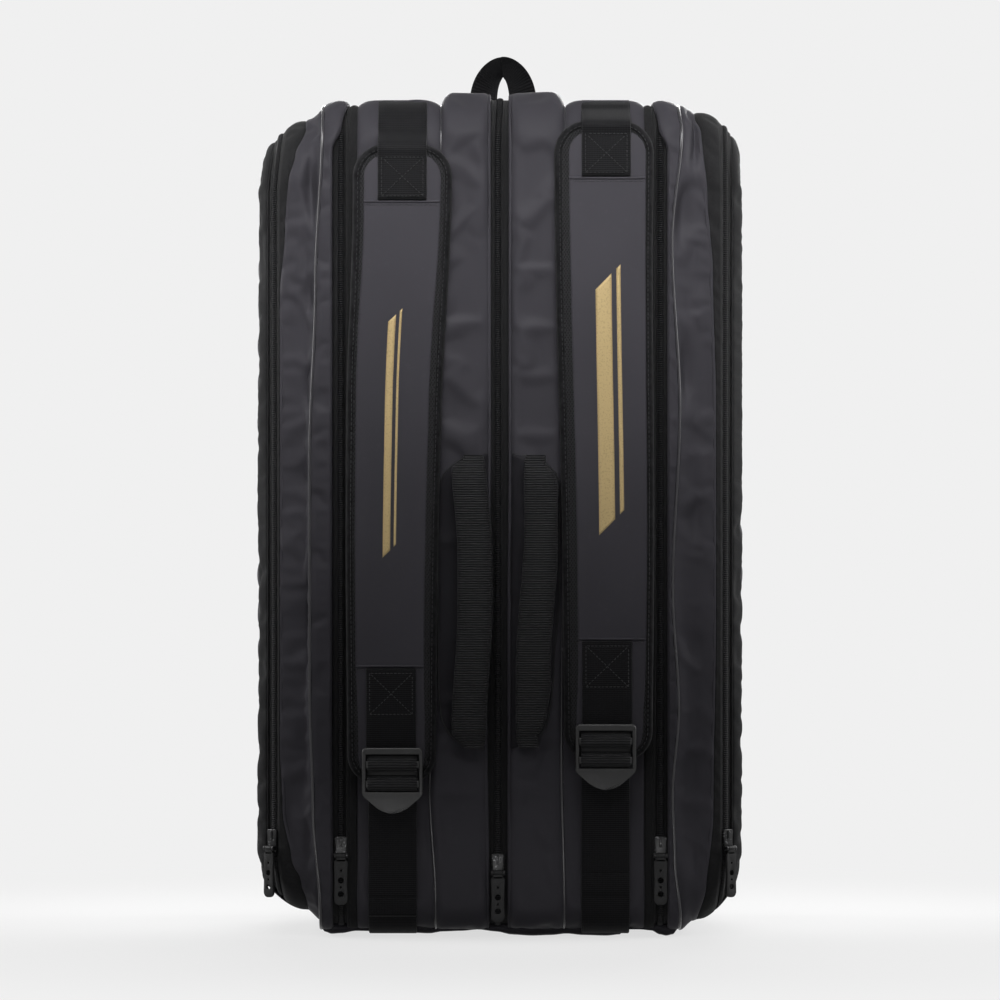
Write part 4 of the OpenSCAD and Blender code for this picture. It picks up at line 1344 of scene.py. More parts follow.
def makeBase():
    # the soft moulded base: a shallow pillow whose underside sags in lobes
    low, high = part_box("base_panel")
    x0, x1 = low.x, high.x
    y0, y1 = low.y - baseSet["reachY"], high.y + baseSet["reachY"]
    thick = high.z - low.z
    rows, cols = baseSet["rows"], baseSet["columns"]
    verts, uvs = [], []
    for face in (0, 1):
        for i in range(rows + 1):
            y = y0 + (y1 - y0) * (0.5 - 0.5 * math.cos(turn / 2 * i / rows))
            nearY = min(y - y0, y1 - y)
            for j in range(cols + 1):
                x = x0 + (x1 - x0) * (0.5 - 0.5 * math.cos(turn / 2 * j / cols))
                near = min(nearY, 3 * (x - x0), 3 * (x1 - x))
                rim = 1 - roundShare(near / baseSet["round"])
                sway = (noise.noise(Vector((x * 12, y * 9, 3.0))) + 0.5) * baseSet["sag"]
                sag = alongCurve(baseSet["lobes"], x) + sway * smoothStep(nearY, 20 * mm, 50 * mm)
                under = low.z + max(0.0, sag) + (thick * 0.8 - max(0.0, sag)) * 0.6 * rim
                collar = baseSet["collar"] * (1 - smoothStep(nearY, *baseSet["collarEnd"]))
                over = high.z - 0.2 * mm + collar * (1 - rim) - 0.1 * thick * rim
                verts.append((x, y, over if face else under))
                uvs.append((x, y))
    base = (rows + 1) * (cols + 1)
    faces = gridFaces(rows, cols, True)
    faces += [[base + i for i in face] for face in gridFaces(rows, cols)]
    # the side between the two, walked once round
    edge = list(range(cols + 1)) + [i * (cols + 1) + cols for i in range(1, rows + 1)]
    edge += [rows * (cols + 1) + j for j in range(cols - 1, -1, -1)]
    edge += [i * (cols + 1) for i in range(rows - 1, 0, -1)]
    for a, b in zip(edge, edge[1:] + edge[:1]):
        faces.append([a, b, base + b, base + a])
    piece = link("base_cover", verts, faces, uvs, "coated")
    pointOutwards(piece)
    settle(piece, "bag", "base_moulding", "base_panel")


makeBase()

print("sliders and pulls")

sliderSet = {
    "length": 25 * mm, "width": 13 * mm, "top": 1.15 * mm, "under": 2.45 * mm, "waist": 0.72,
    "pinDrop": 5 * mm, "pinLift": 3.95 * mm, "pinRadius": 1.2 * mm, "cheek": 1.6 * mm,
    "cheekRadius": 2.2 * mm, "plate": 1.6 * mm, "wing": 1.4 * mm, "corner": 2.6 * mm,
}
pullSet = {
    "length": 46 * mm, "width": 12.8 * mm, "waist": 0.9, "thickness": 2.4 * mm,
    # the loop round the pin: its radius, its gap to both cheeks and how much slimmer its roll is
    "eye": 2.45 * mm, "eyeGap": 0.7 * mm, "eyeTrim": 0.25 * mm,
    # place along the tab and radius of each hole
    "holes": ((0.5, 2.8 * mm), (0.78, 2.8 * mm), (0.3, 1.1 * mm), (0.64, 1.1 * mm)),
}
sideways, frontToBack = (0, math.pi / 2, 0), (math.pi / 2, 0, 0)


def keepShape(name, finish):
    # names a new primitive and puts its size and place into its mesh
    piece = bpy.context.object
    piece.name = name
    bpy.ops.object.transform_apply(location=True, rotation=True, scale=True)
    piece.data.materials.append(finishes[finish])
    return piece


def block(name, size, middle, finish):
    # a cube at its size and place, ready to be shaped
    bpy.ops.object.select_all(action="DESELECT")
    bpy.ops.mesh.primitive_cube_add(size=1, location=middle, scale=size)
    return keepShape(name, finish)


def chooseNone(piece, kind):
    editAll(piece)
    bpy.ops.mesh.select_mode(type=kind)
    bpy.ops.mesh.select_all(action="DESELECT")
    bpy.ops.object.mode_set(mode="OBJECT")


def shapeVerts(piece, wanted, scale, shift=(0, 0, 0)):
    # scales and shifts the chosen points
    chooseNone(piece, "VERT")
    for vertex in piece.data.vertices:
        vertex.select = wanted(vertex.co)
    bpy.ops.object.mode_set(mode="EDIT")
    bpy.ops.transform.resize(value=scale)
    bpy.ops.transform.translate(value=shift)
    bpy.ops.object.mode_set(mode="OBJECT")


def bevelThrough(piece, width, segments, wanted=lambda z: True):
    # rounds the corners that run from front to back, at the chosen heights
    chooseNone(piece, "EDGE")
    for edge in piece.data.edges:
        a, b = (piece.data.vertices[i].co for i in edge.vertices)
        edge.select = abs(a.x - b.x) < 0.1 * mm and abs(a.z - b.z) < 0.1 * mm and wanted(a.z)
    bpy.ops.object.mode_set(mode="EDIT")
    bpy.ops.mesh.bevel(offset=width, segments=segments, affect="EDGES")
    bpy.ops.object.mode_set(mode="OBJECT")


def splitAt(piece, place):
    # a cut right across at a height
    editAll(piece)
    bpy.ops.mesh.bisect(plane_co=place, plane_no=(0, 0, 1))
    bpy.ops.object.mode_set(mode="OBJECT")


def softenEdges(piece, width, segments=2, angle=35):
    soft = piece.modifiers.new("soft", "BEVEL")
    soft.width = width
    soft.segments = segments
    soft.limit_method = "ANGLE"
    soft.angle_limit = math.radians(angle)
    soft.harden_normals = False
    applyModifiers(piece)


def cutWith(piece, cutters):
    for cutter in cutters:
        hole = piece.modifiers.new("hole", "BOOLEAN")
        hole.operation = "DIFFERENCE"
        hole.solver = "EXACT"
        hole.object = cutter
        applyModifiers(piece)
        bpy.data.objects.remove(cutter)


def rod(name, radius, length, middle, rotation, finish, count=24):
    bpy.ops.object.select_all(action="DESELECT")
    bpy.ops.mesh.primitive_cylinder_add(
        vertices=count, radius=radius, depth=length, location=middle, rotation=rotation)
    return keepShape(name, finish)


def joinAll(name, pieces):
    bpy.ops.object.select_all(action="DESELECT")
    for piece in pieces:
        piece.select_set(True)
    bpy.context.view_layer.objects.active = pieces[0]
    bpy.ops.object.join()
    pieces[0].name = name
    return pieces[0]


def shadeByAngle(piece, angle=40):
    pick(piece)
    bpy.ops.object.shade_smooth_by_angle(angle=math.radians(angle))


def sliderModel():
    # at the origin: the zip runs along Z, and -Y is outward
    length, width = sliderSet["length"], sliderSet["width"]
    top, under = sliderSet["top"], sliderSet["under"]
    below = sliderSet["plate"]
    plate = block("slider", (width, top + below, length), (0, (below - top) / 2, 0), "metal")
    shapeVerts(plate, lambda co: co.z < 0, (sliderSet["waist"], 1, 1))
    bevelThrough(plate, sliderSet["corner"], 5)
    softenEdges(plate, 0.5 * mm, 3, 50)
    wings = []
    for sign in (-1, 1):
        place = (sign * (width / 2 - 0.9 * mm), (under - top) / 2, 0)
        wing = block("wing", (sliderSet["wing"], under + top, length * 0.86), place, "metal")
        shapeVerts(wing, lambda co: co.z < 0, (1, 1, 0.9), (-sign * 1.5 * mm, 0, 0))
        softenEdges(wing, 0.4 * mm)
        wings.append(wing)
    lift, drop = sliderSet["pinLift"], sliderSet["pinDrop"]
    cheek, radius = sliderSet["cheek"], sliderSet["cheekRadius"]
    cheeks = []
    for sign in (-1, 1):
        x = sign * (width / 2 - cheek / 2)
        disc = rod("cheek", radius, cheek, (x, -lift, -drop), sideways, "metal")
        softenEdges(disc, 0.35 * mm)
        foot = block("foot", (cheek, lift, 2 * radius), (x, -lift / 2 - 0.2 * mm, -drop), "metal")
        softenEdges(foot, 0.35 * mm)
        cheeks += [disc, foot]
    pin = rod("pin", sliderSet["pinRadius"], width, (0, -lift, -drop), sideways, "metal")
    ridge = block("ridge", (2.4 * mm, 1.6 * mm, length * 0.34), (0, -top - 0.4 * mm, length * 0.28), "metal")
    softenEdges(ridge, 0.6 * mm, 3)
    slider = joinAll("slider", [plate, ridge, pin] + wings + cheeks)
    shadeByAngle(slider)
    return slider


def pullModel():
    # hangs from the pin at (0, -pinLift, -pinDrop)
    length, width, thick = pullSet["length"], pullSet["width"], pullSet["thickness"]
    lift, drop, eye = sliderSet["pinLift"], sliderSet["pinDrop"], pullSet["eye"]
    eyeWidth = width - 2 * sliderSet["cheek"] - pullSet["eyeGap"]
    top = -drop - 1.6 * eye
    middle = (top - drop - length) / 2
    tab = block("pull", (width, thick, length + top + drop), (0, -lift, middle), "rubber")
    splitAt(tab, (0, -lift, middle))
    shapeVerts(tab, lambda co: abs(co.z - middle) < 1 * mm, (pullSet["waist"], 1, 1))
    bevelThrough(tab, width * 0.42, 8, lambda z: z < -drop - length + 1 * mm)
    bevelThrough(tab, width * 0.2, 4, lambda z: z > top - 0.5 * mm)
    cutters = []
    for share, radius in pullSet["holes"]:
        place = (0, -lift, -drop - length * share)
        cutters.append(rod("cutter", radius, 4 * thick, place, frontToBack, "rubber", 28))
    cutWith(tab, cutters)
    softenEdges(tab, 0.45 * mm, 3, 50)
    neck = block("neck", (eyeWidth, thick, 2.2 * eye), (0, -lift, -drop - 1.2 * eye), "rubber")
    softenEdges(neck, 0.4 * mm)
    roll = rod("roll", eye - pullSet["eyeTrim"], eyeWidth, (0, -lift, -drop), sideways, "rubber")
    softenEdges(roll, 0.4 * mm)
    pull = joinAll("pull", [tab, neck, roll])
    shadeByAngle(pull)
    return pull


def copyTo(model, name, matrix):
    data = model.data.copy()
    data.name = name
    data.transform(matrix)
    piece = bpy.data.objects.new(name, data)
    bpy.context.scene.collection.objects.link(piece)
    return piece


def zipPlaces():
    # each slider's place on its zip and the turn of its outward side
    frontY, radius = mainLoop.low[0], pocketSet["edgeRadius"]
    x = pocketEdgeX + (radius + zipSet["pocketLift"]) * math.sin(zipTurn)
    y = pocketLow.y + radius - (radius + zipSet["pocketLift"]) * math.cos(zipTurn)
    places = {"center_slider": (mainSet["middleZip"], frontY, 0.0)}
    for side, sign in sides.items():
        places["inner_slider_" + side] = (sign * mainSet["innerZip"][side], frontY, 0.0)
    for side, sign in sides.items():
        places["pocket_slider_" + side] = (sign * x, y, sign * zipTurn)
    return places


sliderBase, pullBase = sliderModel(), pullModel()
for node, (x, y, heading) in zipPlaces().items():
    low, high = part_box(node)
    z = (low.z + high.z) / 2
    matrix = Matrix.Translation((x, y, z)) @ Matrix.Rotation(heading, 4, "Z")
    settle(copyTo(sliderBase, node + "_cast", matrix), node, "slider_metal", node)
    pull = node.replace("slider", "pull")
    settle(copyTo(pullBase, pull + "_tab", matrix), pull, "pull_rubber", pull)
bpy.data.objects.remove(sliderBase)
bpy.data.objects.remove(pullBase)

print("grips and their patches")

gripSet = {
    "reach": 5 * mm, "patchInner": 0.6 * mm, "patchRound": 32 * mm, "patchLift": 0.9 * mm, "patchTop": 5 * mm,
    "patchThickness": 0.8 * mm, "patchLeast": 0.4 * mm, "patchRows": 90, "patchColumns": 10,
    # the patch's folded edge, coloured near-black as painted shade of its crease, the spacing of its points,
    # and how far inside it the stitches run
    "edge": (2.0 * mm, 1.5 * mm), "edgeLift": 0.1 * mm, "edgeStep": 4 * mm, "stitchInset": 2.6 * mm,
    "ribPitch": 2.25 * mm, "ribDepth": 0.8 * mm, "ringStep": 0.45 * mm, "count": 26, "endTaper": 26 * mm,
    # the ends: share of the thickness and width, the length that is drawn in and by how much
    "endThickness": 0.26, "endWidth": 0.93, "endRound": 7 * mm, "endDraw": 0.25,
    # the room left to the patch's edge, and the least half width there
    "patchRoom": 1.5 * mm, "leastHalf": 5 * mm,
    # the patch's outer seam and the grip's sideways bend, as (height, distance) knots
    "patchEdge": {
        "left": ((0.18, 0.0530), (0.24, 0.0575), (0.40, 0.0575), (0.46, 0.0545)),
        "right": ((0.19, 0.0440), (0.25, 0.0500), (0.316, 0.0550), (0.46, 0.0560)),
    },
    "bend": {
        "left": ((0.19, 0.002), (0.31, 0.0076), (0.36, 0.0076), (0.45, 0.0015)),
        "right": ((0.25, 0.0), (0.39, 0.0080), (0.45, 0.0070)),
    },
}
panelTrees = {side: treeOf(bodyPanels["center_panel_" + side]) for side in sides}
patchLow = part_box("grip_patches")[0].z
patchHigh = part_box("grip_patches")[1].z - gripSet["patchTop"]


def patchSpan(side, z):
    # the patch at height z, from the zip to its outer seam, rounded in to the zip at both ends
    inner = alongCurve(mainSet["middle"][side], z) + gripSet["patchInner"]
    outer = alongCurve(gripSet["patchEdge"][side], z)
    depth = min(z - patchLow, patchHigh - z)
    outer -= (outer - inner) * (1 - roundShare(depth / gripSet["patchRound"]))
    return inner, max(outer, inner + gripSet["patchLeast"])


def makePatch(side):
    sign, tree = sides[side], panelTrees[side]
    rows, cols = gripSet["patchRows"], gripSet["patchColumns"]
    verts, uvs, edge = [], [], []
    for i in range(rows + 1):
        z = patchLow + (patchHigh - patchLow) * i / rows
        xStart, xEnd = patchSpan(side, z)
        for j in range(cols + 1):
            x = xStart + (xEnd - xStart) * j / cols
            point = Vector((sign * x, mainLoop.low[0], z))
            verts.append(dropOn(tree, point, forwards, gripSet["patchLift"]))
            uvs.append((x, z))
        edge.append(verts[-1] + forwards * gripSet["edgeLift"])
    piece = link("grip_patch_" + side, verts, gridFaces(rows, cols, sign > 0), uvs, "patch")
    thicken(piece, gripSet["patchThickness"])
    settle(piece, "bag", "coated_fabric", "grip_patches")
    # a folded edge in the near-black coil finish, which paints the shade of the seam's crease, with a row of
    # stitches just inside it
    step = gripSet["edgeStep"]
    seam = smoothPath(edge, step)
    stations = [
        (point, ahead.cross(forwards).normalized(), forwards, i * step)
        for i, (point, ahead) in enumerate(zip(seam, headings(seam)))
    ]
    piece = sweep("grip_patch_painted_shade_edge_" + side, stations, roundSection(*gripSet["edge"], 8), "coil")
    settle(piece, "bag", "coated_fabric")
    inside = [point - rightwards * (sign * gripSet["stitchInset"]) for point in seam[4:-4]]
    inside = [dropOn(tree, point, forwards, gripSet["patchLift"] + 0.25 * mm) for point in inside]
    stitching["bag"].addRow(inside, forwards)


def makeGrip(side):
    # padded ribbed webbing, thinned where its ends are sewn down
    sign = sides[side]
    low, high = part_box("grip_" + side)
    x0, half = (low.x + high.x) / 2, (high.x - low.x) / 2
    yBack, thick = high.y, high.y - low.y
    bottom, top = low.z - gripSet["reach"], high.z + gripSet["reach"] - gripSet["patchTop"]
    rings, count = round((top - bottom) / gripSet["ringStep"]), gripSet["count"]
    verts, uvs = [], []
    for i in range(rings + 1):
        z = bottom + (top - bottom) * i / rings
        depth = min(z - bottom, top - z)
        share = smoothStep(depth, -4 * mm, gripSet["endTaper"])
        thickness = thick * (gripSet["endThickness"] + (1 - gripSet["endThickness"]) * share)
        width = half * (gripSet["endWidth"] + (1 - gripSet["endWidth"]) * share)
        width -= max(0.0, gripSet["endRound"] - depth) * gripSet["endDraw"]
        rib = abs(math.sin(turn / 2 * z / gripSet["ribPitch"])) ** 0.7 * gripSet["ribDepth"]
        x = x0 + alongCurve(gripSet["bend"][side], z)
        y = yBack - 0.2 * mm - thickness / 2 + 1.2 * mm * (1 - share)
        # the grip's outer side follows the patch round its corners
        room = patchSpan(side, z)[1] - gripSet["patchRoom"] - sign * x
        outwards = min(width, max(gripSet["leastHalf"], room))
        for k in range(count):
            angle = turn * k / count
            c, o = math.cos(angle), math.sin(angle)
            reach = outwards if c * sign > 0 else width
            a = (reach - gripSet["ribDepth"] + rib) * math.copysign(abs(c) ** 0.62, c)
            v = (thickness / 2 - gripSet["ribDepth"] + rib) * math.copysign(abs(o) ** 0.8, o)
            wave = noise.noise(Vector((k * 0.7, z * 30, sign * 2.0))) * 0.3 * mm
            verts.append((x + a, y - v - wave, z))
            uvs.append((k / count * 4 * half, z))
    piece = link("grip_padding_" + side, verts, tubeFaces(rings + 1, count), uvs, "gripWebbing")
    pointOutwards(piece)
    settle(piece, "grip_" + side, "grip_webbing", "grip_" + side)


for side in sides:
    makePatch(side)
    makeGrip(side)

print("haul loop")

loopSet = {
    "band": 27 * mm, "apexBand": 19 * mm, "thickness": 2.2 * mm, "halfSpan": 18.9 * mm, "rise": 40 * mm,
    # how deep its feet go into the seam, and in how many steps
    "sink": 9 * mm, "sunk": 6, "cup": 2.2 * mm, "lean": 3.5 * mm, "tilt": 0.22, "cells": 8, "step": 4.0,
    # each end's reach over the top, in degrees from its own foot, and how far it stands forward
    "ends": {"left": (116, 1.4 * mm), "right": (98, -1.6 * mm)},
}


def loopBand(side):
    # one half: from its foot in the top seam, up and over the middle, drawn together there
    low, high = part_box("haul_loop")
    foot = Vector(((low.x + high.x) / 2, (low.y + high.y) / 2, low.z))
    sign, (reach, forward) = sides[side], loopSet["ends"][side]
    stations = []
    count = round(reach / loopSet["step"])
    for k in range(-loopSet["sunk"], count + 1):
        angle = math.radians(max(0.0, k * reach / count))
        c, o = math.cos(angle), math.sin(angle)
        lift = loopSet["rise"] * o ** 0.8 if o > 0 else 0.0
        aside = sign * loopSet["halfSpan"] * c * abs(c) ** 0.3
        middle = foot + Vector((aside, forward + loopSet["lean"] * o, lift))
        middle.z -= loopSet["sink"] * max(0, -k) / loopSet["sunk"]
        width = loopSet["apexBand"] + (loopSet["band"] - loopSet["apexBand"]) * abs(c) ** 1.4
        across = Vector((sign * c, loopSet["tilt"] * sign * c, o)).normalized()
        ahead = Vector((-sign * o, 0, c)).normalized()
        stations.append((middle, across * width, across.cross(ahead).normalized(), k * 2 * mm))
    section = []
    for a, o in bandSection(1.0, loopSet["thickness"], loopSet["cells"], 0.0):
        section.append((a, o + loopSet["cup"] * (4 * a * a - 0.4)))
    return sweep("haul_loop_band_" + side, stations, section, "webbing")


def makeHaulLoop():
    # the two halves overlap at the top, folded and sewn together
    band = joinAll("haul_loop_band", [loopBand("left"), loopBand("right")])
    subdivide(band, 1)
    applyModifiers(band)
    settle(band, "haul_loop", "webbing", "haul_loop")


makeHaulLoop()

print("shoulder straps")

padSet = {
    "archRadius": 30 * mm, "footRadius": 26 * mm, "border": 9.5 * mm, "edgeRound": 5 * mm, "count": 44,
    "bindingReach": 5.6 * mm, "bindingThickness": 0.8 * mm, "bindingBack": 0.1 * mm, "step": 5 * mm,
    "wander": 1.2 * mm,
    "topSway": {"left": 6 * mm, "right": 0.0}, "swayFrom": 0.50, "swayTo": 0.71,
    # how far the coated face sits off the pad's middle, as (height, shift)
    "faceShift": {
        "left": ((0.19, 0.0), (0.26, -0.0016), (0.56, -0.0016), (0.66, 0.0)),
        "right": ((0.19, 0.001), (0.26, 0.0034), (0.60, 0.0036), (0.72, 0.003)),
    },
    "lowWidth": 81 * mm, "drift": 4 * mm, "footBorder": 5 * mm, "faceFoot": 17 * mm,
    # the face: the share of its half width where its edge turns down, and how far it lies lower above
    # its upper seam and below its lower one
    "faceThickness": 0.8 * mm, "faceLift": 0.9 * mm, "faceCrown": 0.9 * mm, "edgeFrom": 0.955,
    "dropAbove": 0.55 * mm, "dropBelow": 0.7 * mm,
    "ridges": {"upper": 2.6 * mm, "lower": 3.0 * mm}, "ridgeHeight": 1.9 * mm, "ridgePoints": 25,
    "stitchDrop": 3.2 * mm,
    "seamDrop": 53 * mm, "lowSeamDrop": {"left": 486 * mm, "right": 482.5 * mm}, "barDrop": 564.5 * mm,
}


class Pad:
    # sizes of one shoulder strap's pad, from the frame

    def __init__(self, side):
        self.side, self.sign = side, sides[side]
        low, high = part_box("strap_pad_" + side)
        self.x = (low.x + high.x) / 2
        self.back, self.front = high.y, low.y
        self.bottom, self.top = low.z, high.z
        self.wide = (high.x - low.x) / 2
        self.seamZ = self.top - padSet["seamDrop"]
        self.lowSeamZ = self.top - padSet["lowSeamDrop"][side]
        self.barZ = self.top - padSet["barDrop"]

    def middle(self, z):
        # the narrow lower part lies a little further out
        share = smoothStep(self.top - z, 0.10, 0.42)
        sway = padSet["topSway"][self.side] * smoothStep(z, padSet["swayFrom"], padSet["swayTo"])
        return self.x + self.sign * padSet["drift"] * share + sway

    def faceMiddle(self, z):
        return self.middle(z) + alongCurve(padSet["faceShift"][self.side], z)

    def half(self, z, inset=0.0):
        # half width at height z, drawn in by inset, round at both ends
        share = (self.top - z) / (self.top - self.bottom)
        full = self.wide + (padSet["lowWidth"] / 2 - self.wide) * min(1.0, max(0.0, share)) - inset
        full -= drawnIn(padSet["archRadius"] - inset, self.top - inset - z)
        return full - drawnIn(padSet["footRadius"] - inset, z - self.bottom - inset)

    def wander(self, z):
        # how far the pad's face lifts and dips along its length, still behind the buckle
        calm = smoothStep(z, self.barZ + 10 * mm, self.barZ + 60 * mm)
        return noise.noise(Vector((self.sign * 4.0, 0.3, z * 5))) * padSet["wander"] * calm

    def rim(self, inset=0.0, step=padSet["step"]):
        # points round the edge at mid thickness with their in-plane outward directions
        right = []
        low, high = self.bottom + inset, self.top - inset
        rows = 260
        for i in range(rows + 1):
            z = low + (high - low) * (0.5 - 0.5 * math.cos(turn / 2 * i / rows))
            right.append((self.half(z, inset), z))
        loop = [(self.middle(z) + x, z) for x, z in right]
        loop += [(self.middle(z) - x, z) for x, z in reversed(right)]
        lengths = [0.0]
        for a, b in zip(loop, loop[1:] + loop[:1]):
            lengths.append(lengths[-1] + math.dist(a, b))
        count = round(lengths[-1] / step)
        points, at = [], 0
        for k in range(count):
            goal = lengths[-1] * k / count
            while lengths[at + 1] < goal:
                at += 1
            share = (goal - lengths[at]) / max(1e-9, lengths[at + 1] - lengths[at])
            a, b = loop[at], loop[(at + 1) % len(loop)]
            points.append(Vector((a[0] + (b[0] - a[0]) * share, 0, a[1] + (b[1] - a[1]) * share)))
        aheads = headings(points, closedLoop=True)
        return [
            (point, Vector((ahead.z, 0, -ahead.x)), lengths[-1] * k / count)
            for k, (point, ahead) in enumerate(zip(points, aheads))
        ]


def makePad(pad):
    # a foam pad under spacer mesh with soft rolled edges
    count, edge = padSet["count"], padSet["edgeRound"]
    verts, uvs, heights = [], [], []
    z = pad.bottom
    while z < pad.top - 1e-6:
        heights.append(z)
        near = min(z - pad.bottom, pad.top - z)
        z += 0.7 * mm if near < edge else (2.5 * mm if near < 32 * mm else 6 * mm)
    heights.append(pad.top)
    thick = pad.back - pad.front
    for z in heights:
        near = min(z - pad.bottom, pad.top - z)
        share, half = roundShare(near / edge), pad.half(z)
        for k in range(count):
            angle = turn * k / count
            c, o = math.cos(angle), math.sin(angle)
            a = half * math.copysign(abs(c) ** 0.45, c)
            across = roundShare((half - abs(a)) / edge)
            v = thick / 2 * math.copysign(1.0, o) * across * share if abs(o) > 1e-9 else 0.0
            y = (pad.back + pad.front) / 2 - v - (pad.wander(z) if o > 0 else 0)
            verts.append((pad.middle(z) + a, y, z))
            uvs.append((a, z))
    piece = link("strap_pad_foam_" + pad.side, verts, tubeFaces(len(heights), count), uvs, "mesh")
    pointOutwards(piece)
    settle(piece, "strap_" + pad.side, "strap_mesh", "strap_pad_" + pad.side)


def makeBinding(pad):
    # woven tape folded round the pad's edge, with a row of stitches on its front
    thick = (pad.back - pad.front) / 2
    reach, cover, back = padSet["bindingReach"], padSet["bindingThickness"], padSet["bindingBack"]
    outer = []
    for k in range(9):
        angle = turn / 4 - turn / 2 * k / 8
        over = thick + (cover if angle > 0 else back)
        outer.append((over * math.sin(angle), (thick * 0.55 + cover / 2) * math.cos(angle) - thick * 0.5))
    outer = [(thick + cover, -reach)] + outer + [(-thick - back, -reach)]
    inner = [(a * (thick - 0.2 * mm) / (thick + cover), o - cover * 0.8) for a, o in reversed(outer)]
    stations, front = [], []
    for point, outward, distance in pad.rim():
        lift = pad.wander(point.z)
        y = (pad.back + pad.front) / 2 - lift / 2
        stations.append((Vector((point.x, y, point.z)), forwards, outward, distance))
        inside = point - outward * (reach - 1.4 * mm)
        front.append(Vector((inside.x, pad.front - lift - cover - 0.1 * mm, inside.z)))
    piece = sweep("strap_binding_" + pad.side, stations, outer + inner, "binding", closedLoop=True)
    settle(piece, "strap_" + pad.side, "strap_mesh")
    stitching[pad.side].addRow(front, forwards)


def faceHalf(pad, z):
    # half width of the coated face, which ends in a round foot close to the pad's own
    foot = pad.bottom + padSet["footBorder"]
    half = pad.half(max(z, foot + padSet["faceFoot"]), padSet["border"])
    return half - drawnIn(padSet["faceFoot"], z - foot)


def faceHeight(pad, x, z, half):
    # how far the coated face stands in front of the pad
    t = abs(x - pad.faceMiddle(z)) / max(half, 1e-6)
    crown = padSet["faceCrown"] * (1 - t * t)
    rim = math.sqrt(max(0.0, 1 - max(0.0, (t - padSet["edgeFrom"]) / (1 - padSet["edgeFrom"])) ** 2))
    above = smoothStep(z, pad.seamZ - 1 * mm, pad.seamZ + 1 * mm)
    below = 1 - smoothStep(z, pad.lowSeamZ - 1 * mm, pad.lowSeamZ + 1 * mm)
    drop = padSet["dropAbove"] * above + padSet["dropBelow"] * below
    fine = noise.noise(Vector((x * 22, pad.sign, z * 9))) * 0.35 * mm
    return (padSet["faceLift"] + crown - drop + fine) * rim + pad.wander(z) - 0.5 * mm * (1 - rim)


def makeFace(pad):
    # the coated face, sewn down round its edge and across at two seams
    low, high = pad.bottom + padSet["footBorder"] + 0.1 * mm, pad.top - padSet["border"]
    verts, uvs, cols = [], [], 22
    heights = [low]
    while heights[-1] < high - 1e-6:
        z = heights[-1]
        near = min(abs(z - pad.seamZ), abs(z - pad.lowSeamZ), high - z, z - low)
        heights.append(min(high, z + (0.8 * mm if near < 7 * mm else 4 * mm)))
    for z in heights:
        half = max(faceHalf(pad, z), 2 * mm)
        for j in range(cols + 1):
            t = math.sin(turn / 4 * (2 * j / cols - 1))
            x = pad.faceMiddle(z) + half * t
            verts.append((x, pad.front - faceHeight(pad, x, z, half), z))
            uvs.append((half * t, z))
    piece = link("strap_face_skin_" + pad.side, verts, gridFaces(len(heights) - 1, cols), uvs, "strapFace")
    thicken(piece, padSet["faceThickness"], 0)
    settle(piece, "strap_" + pad.side, "strap_face_coating", "strap_face_" + pad.side)
    # raised ridges where the face's panels are folded and sewn
    last = padSet["ridgePoints"] - 1
    for name, z in (("upper", pad.seamZ), ("lower", pad.lowSeamZ)):
        half = pad.half(z, padSet["border"]) - 0.3 * mm
        points = []
        for k in range(last + 1):
            x = pad.faceMiddle(z) + half * (2 * k / last - 1)
            y = pad.front - faceHeight(pad, x, z - 2 * mm, half * 1.01) - 0.2 * mm
            sway = noise.noise(Vector((x * 25, z, 1.0))) * 0.3 * mm
            points.append(Vector((x, y, z + sway)))
        stations = [(p, Vector((0, 0, 1)), forwards, k * 3 * mm) for k, p in enumerate(points)]
        section = roundSection(padSet["ridges"][name], padSet["ridgeHeight"], 8)
        ridge = sweep(f"strap_{name}_ridge_{pad.side}", stations, section, "strapFace")
        settle(ridge, "strap_" + pad.side, "strap_face_coating")
        row = [p + Vector((0, -0.1 * mm, -padSet["stitchDrop"])) for p in points]
        stitching[pad.side].addRow(row, forwards)
    return piece


stripeSet = {
    # distance of each stripe from the strap's middle line, and its width
    "left": {"top": 158 * mm, "bottom": 378 * mm, "bars": ((-3.4 * mm, 7 * mm), (4.4 * mm, 2.2 * mm))},
    "right": {"top": 145 * mm, "bottom": 374 * mm, "bars": ((-4.5 * mm, 15 * mm), (9.5 * mm, 4 * mm))},
    "lift": 0.18 * mm, "slant": 1.0, "thickness": 0.15 * mm,
}


def makeStripes(pad, face):
    # plain gold bands printed on the coated face, cut off at a slant
    tree, choice = treeOf(face), stripeSet[pad.side]
    high, low = pad.top - choice["top"], pad.top - choice["bottom"]
    verts, uvs, faces = [], [], []
    for offset, width in choice["bars"]:
        cols, rows = max(2, round(width / (2.5 * mm))), round((high - low) / (3 * mm))
        base = len(verts)
        for i in range(rows + 1):
            for j in range(cols + 1):
                x = offset + width * (j / cols - 0.5)
                z = low + (high - low) * i / rows + x * stripeSet["slant"]
                point = Vector((pad.faceMiddle(z) + x, pad.front, z))
                verts.append(dropOn(tree, point, forwards, stripeSet["lift"]))
                uvs.append((x, z))
        faces += [[base + v for v in quad] for quad in gridFaces(rows, cols)]
    piece = link("strap_stripes_" + pad.side, verts, faces, uvs, "gold")
    thicken(piece, stripeSet["thickness"], 0)
    settle(piece, "strap_" + pad.side, "strap_face_coating")


webSet = {
    "upperShift": {"left": 6 * mm, "right": 1.9 * mm}, "lowerShift": {"left": -4.5 * mm, "right": 2.8 * mm},
    "upperWidth": 45.5 * mm, "lowerWidth": 46.5 * mm, "thickness": 1.8 * mm, "step": 3 * mm,
    "anchor": 45 * mm, "faceGap": 3.1 * mm, "lowerFaceGap": 2.9 * mm, "lowerStep": 1.8 * mm,
    "barRadius": 2.6 * mm, "wrapGap": 0.35 * mm, "hingeRise": 12 * mm, "stitchInset": 3.5 * mm,
}


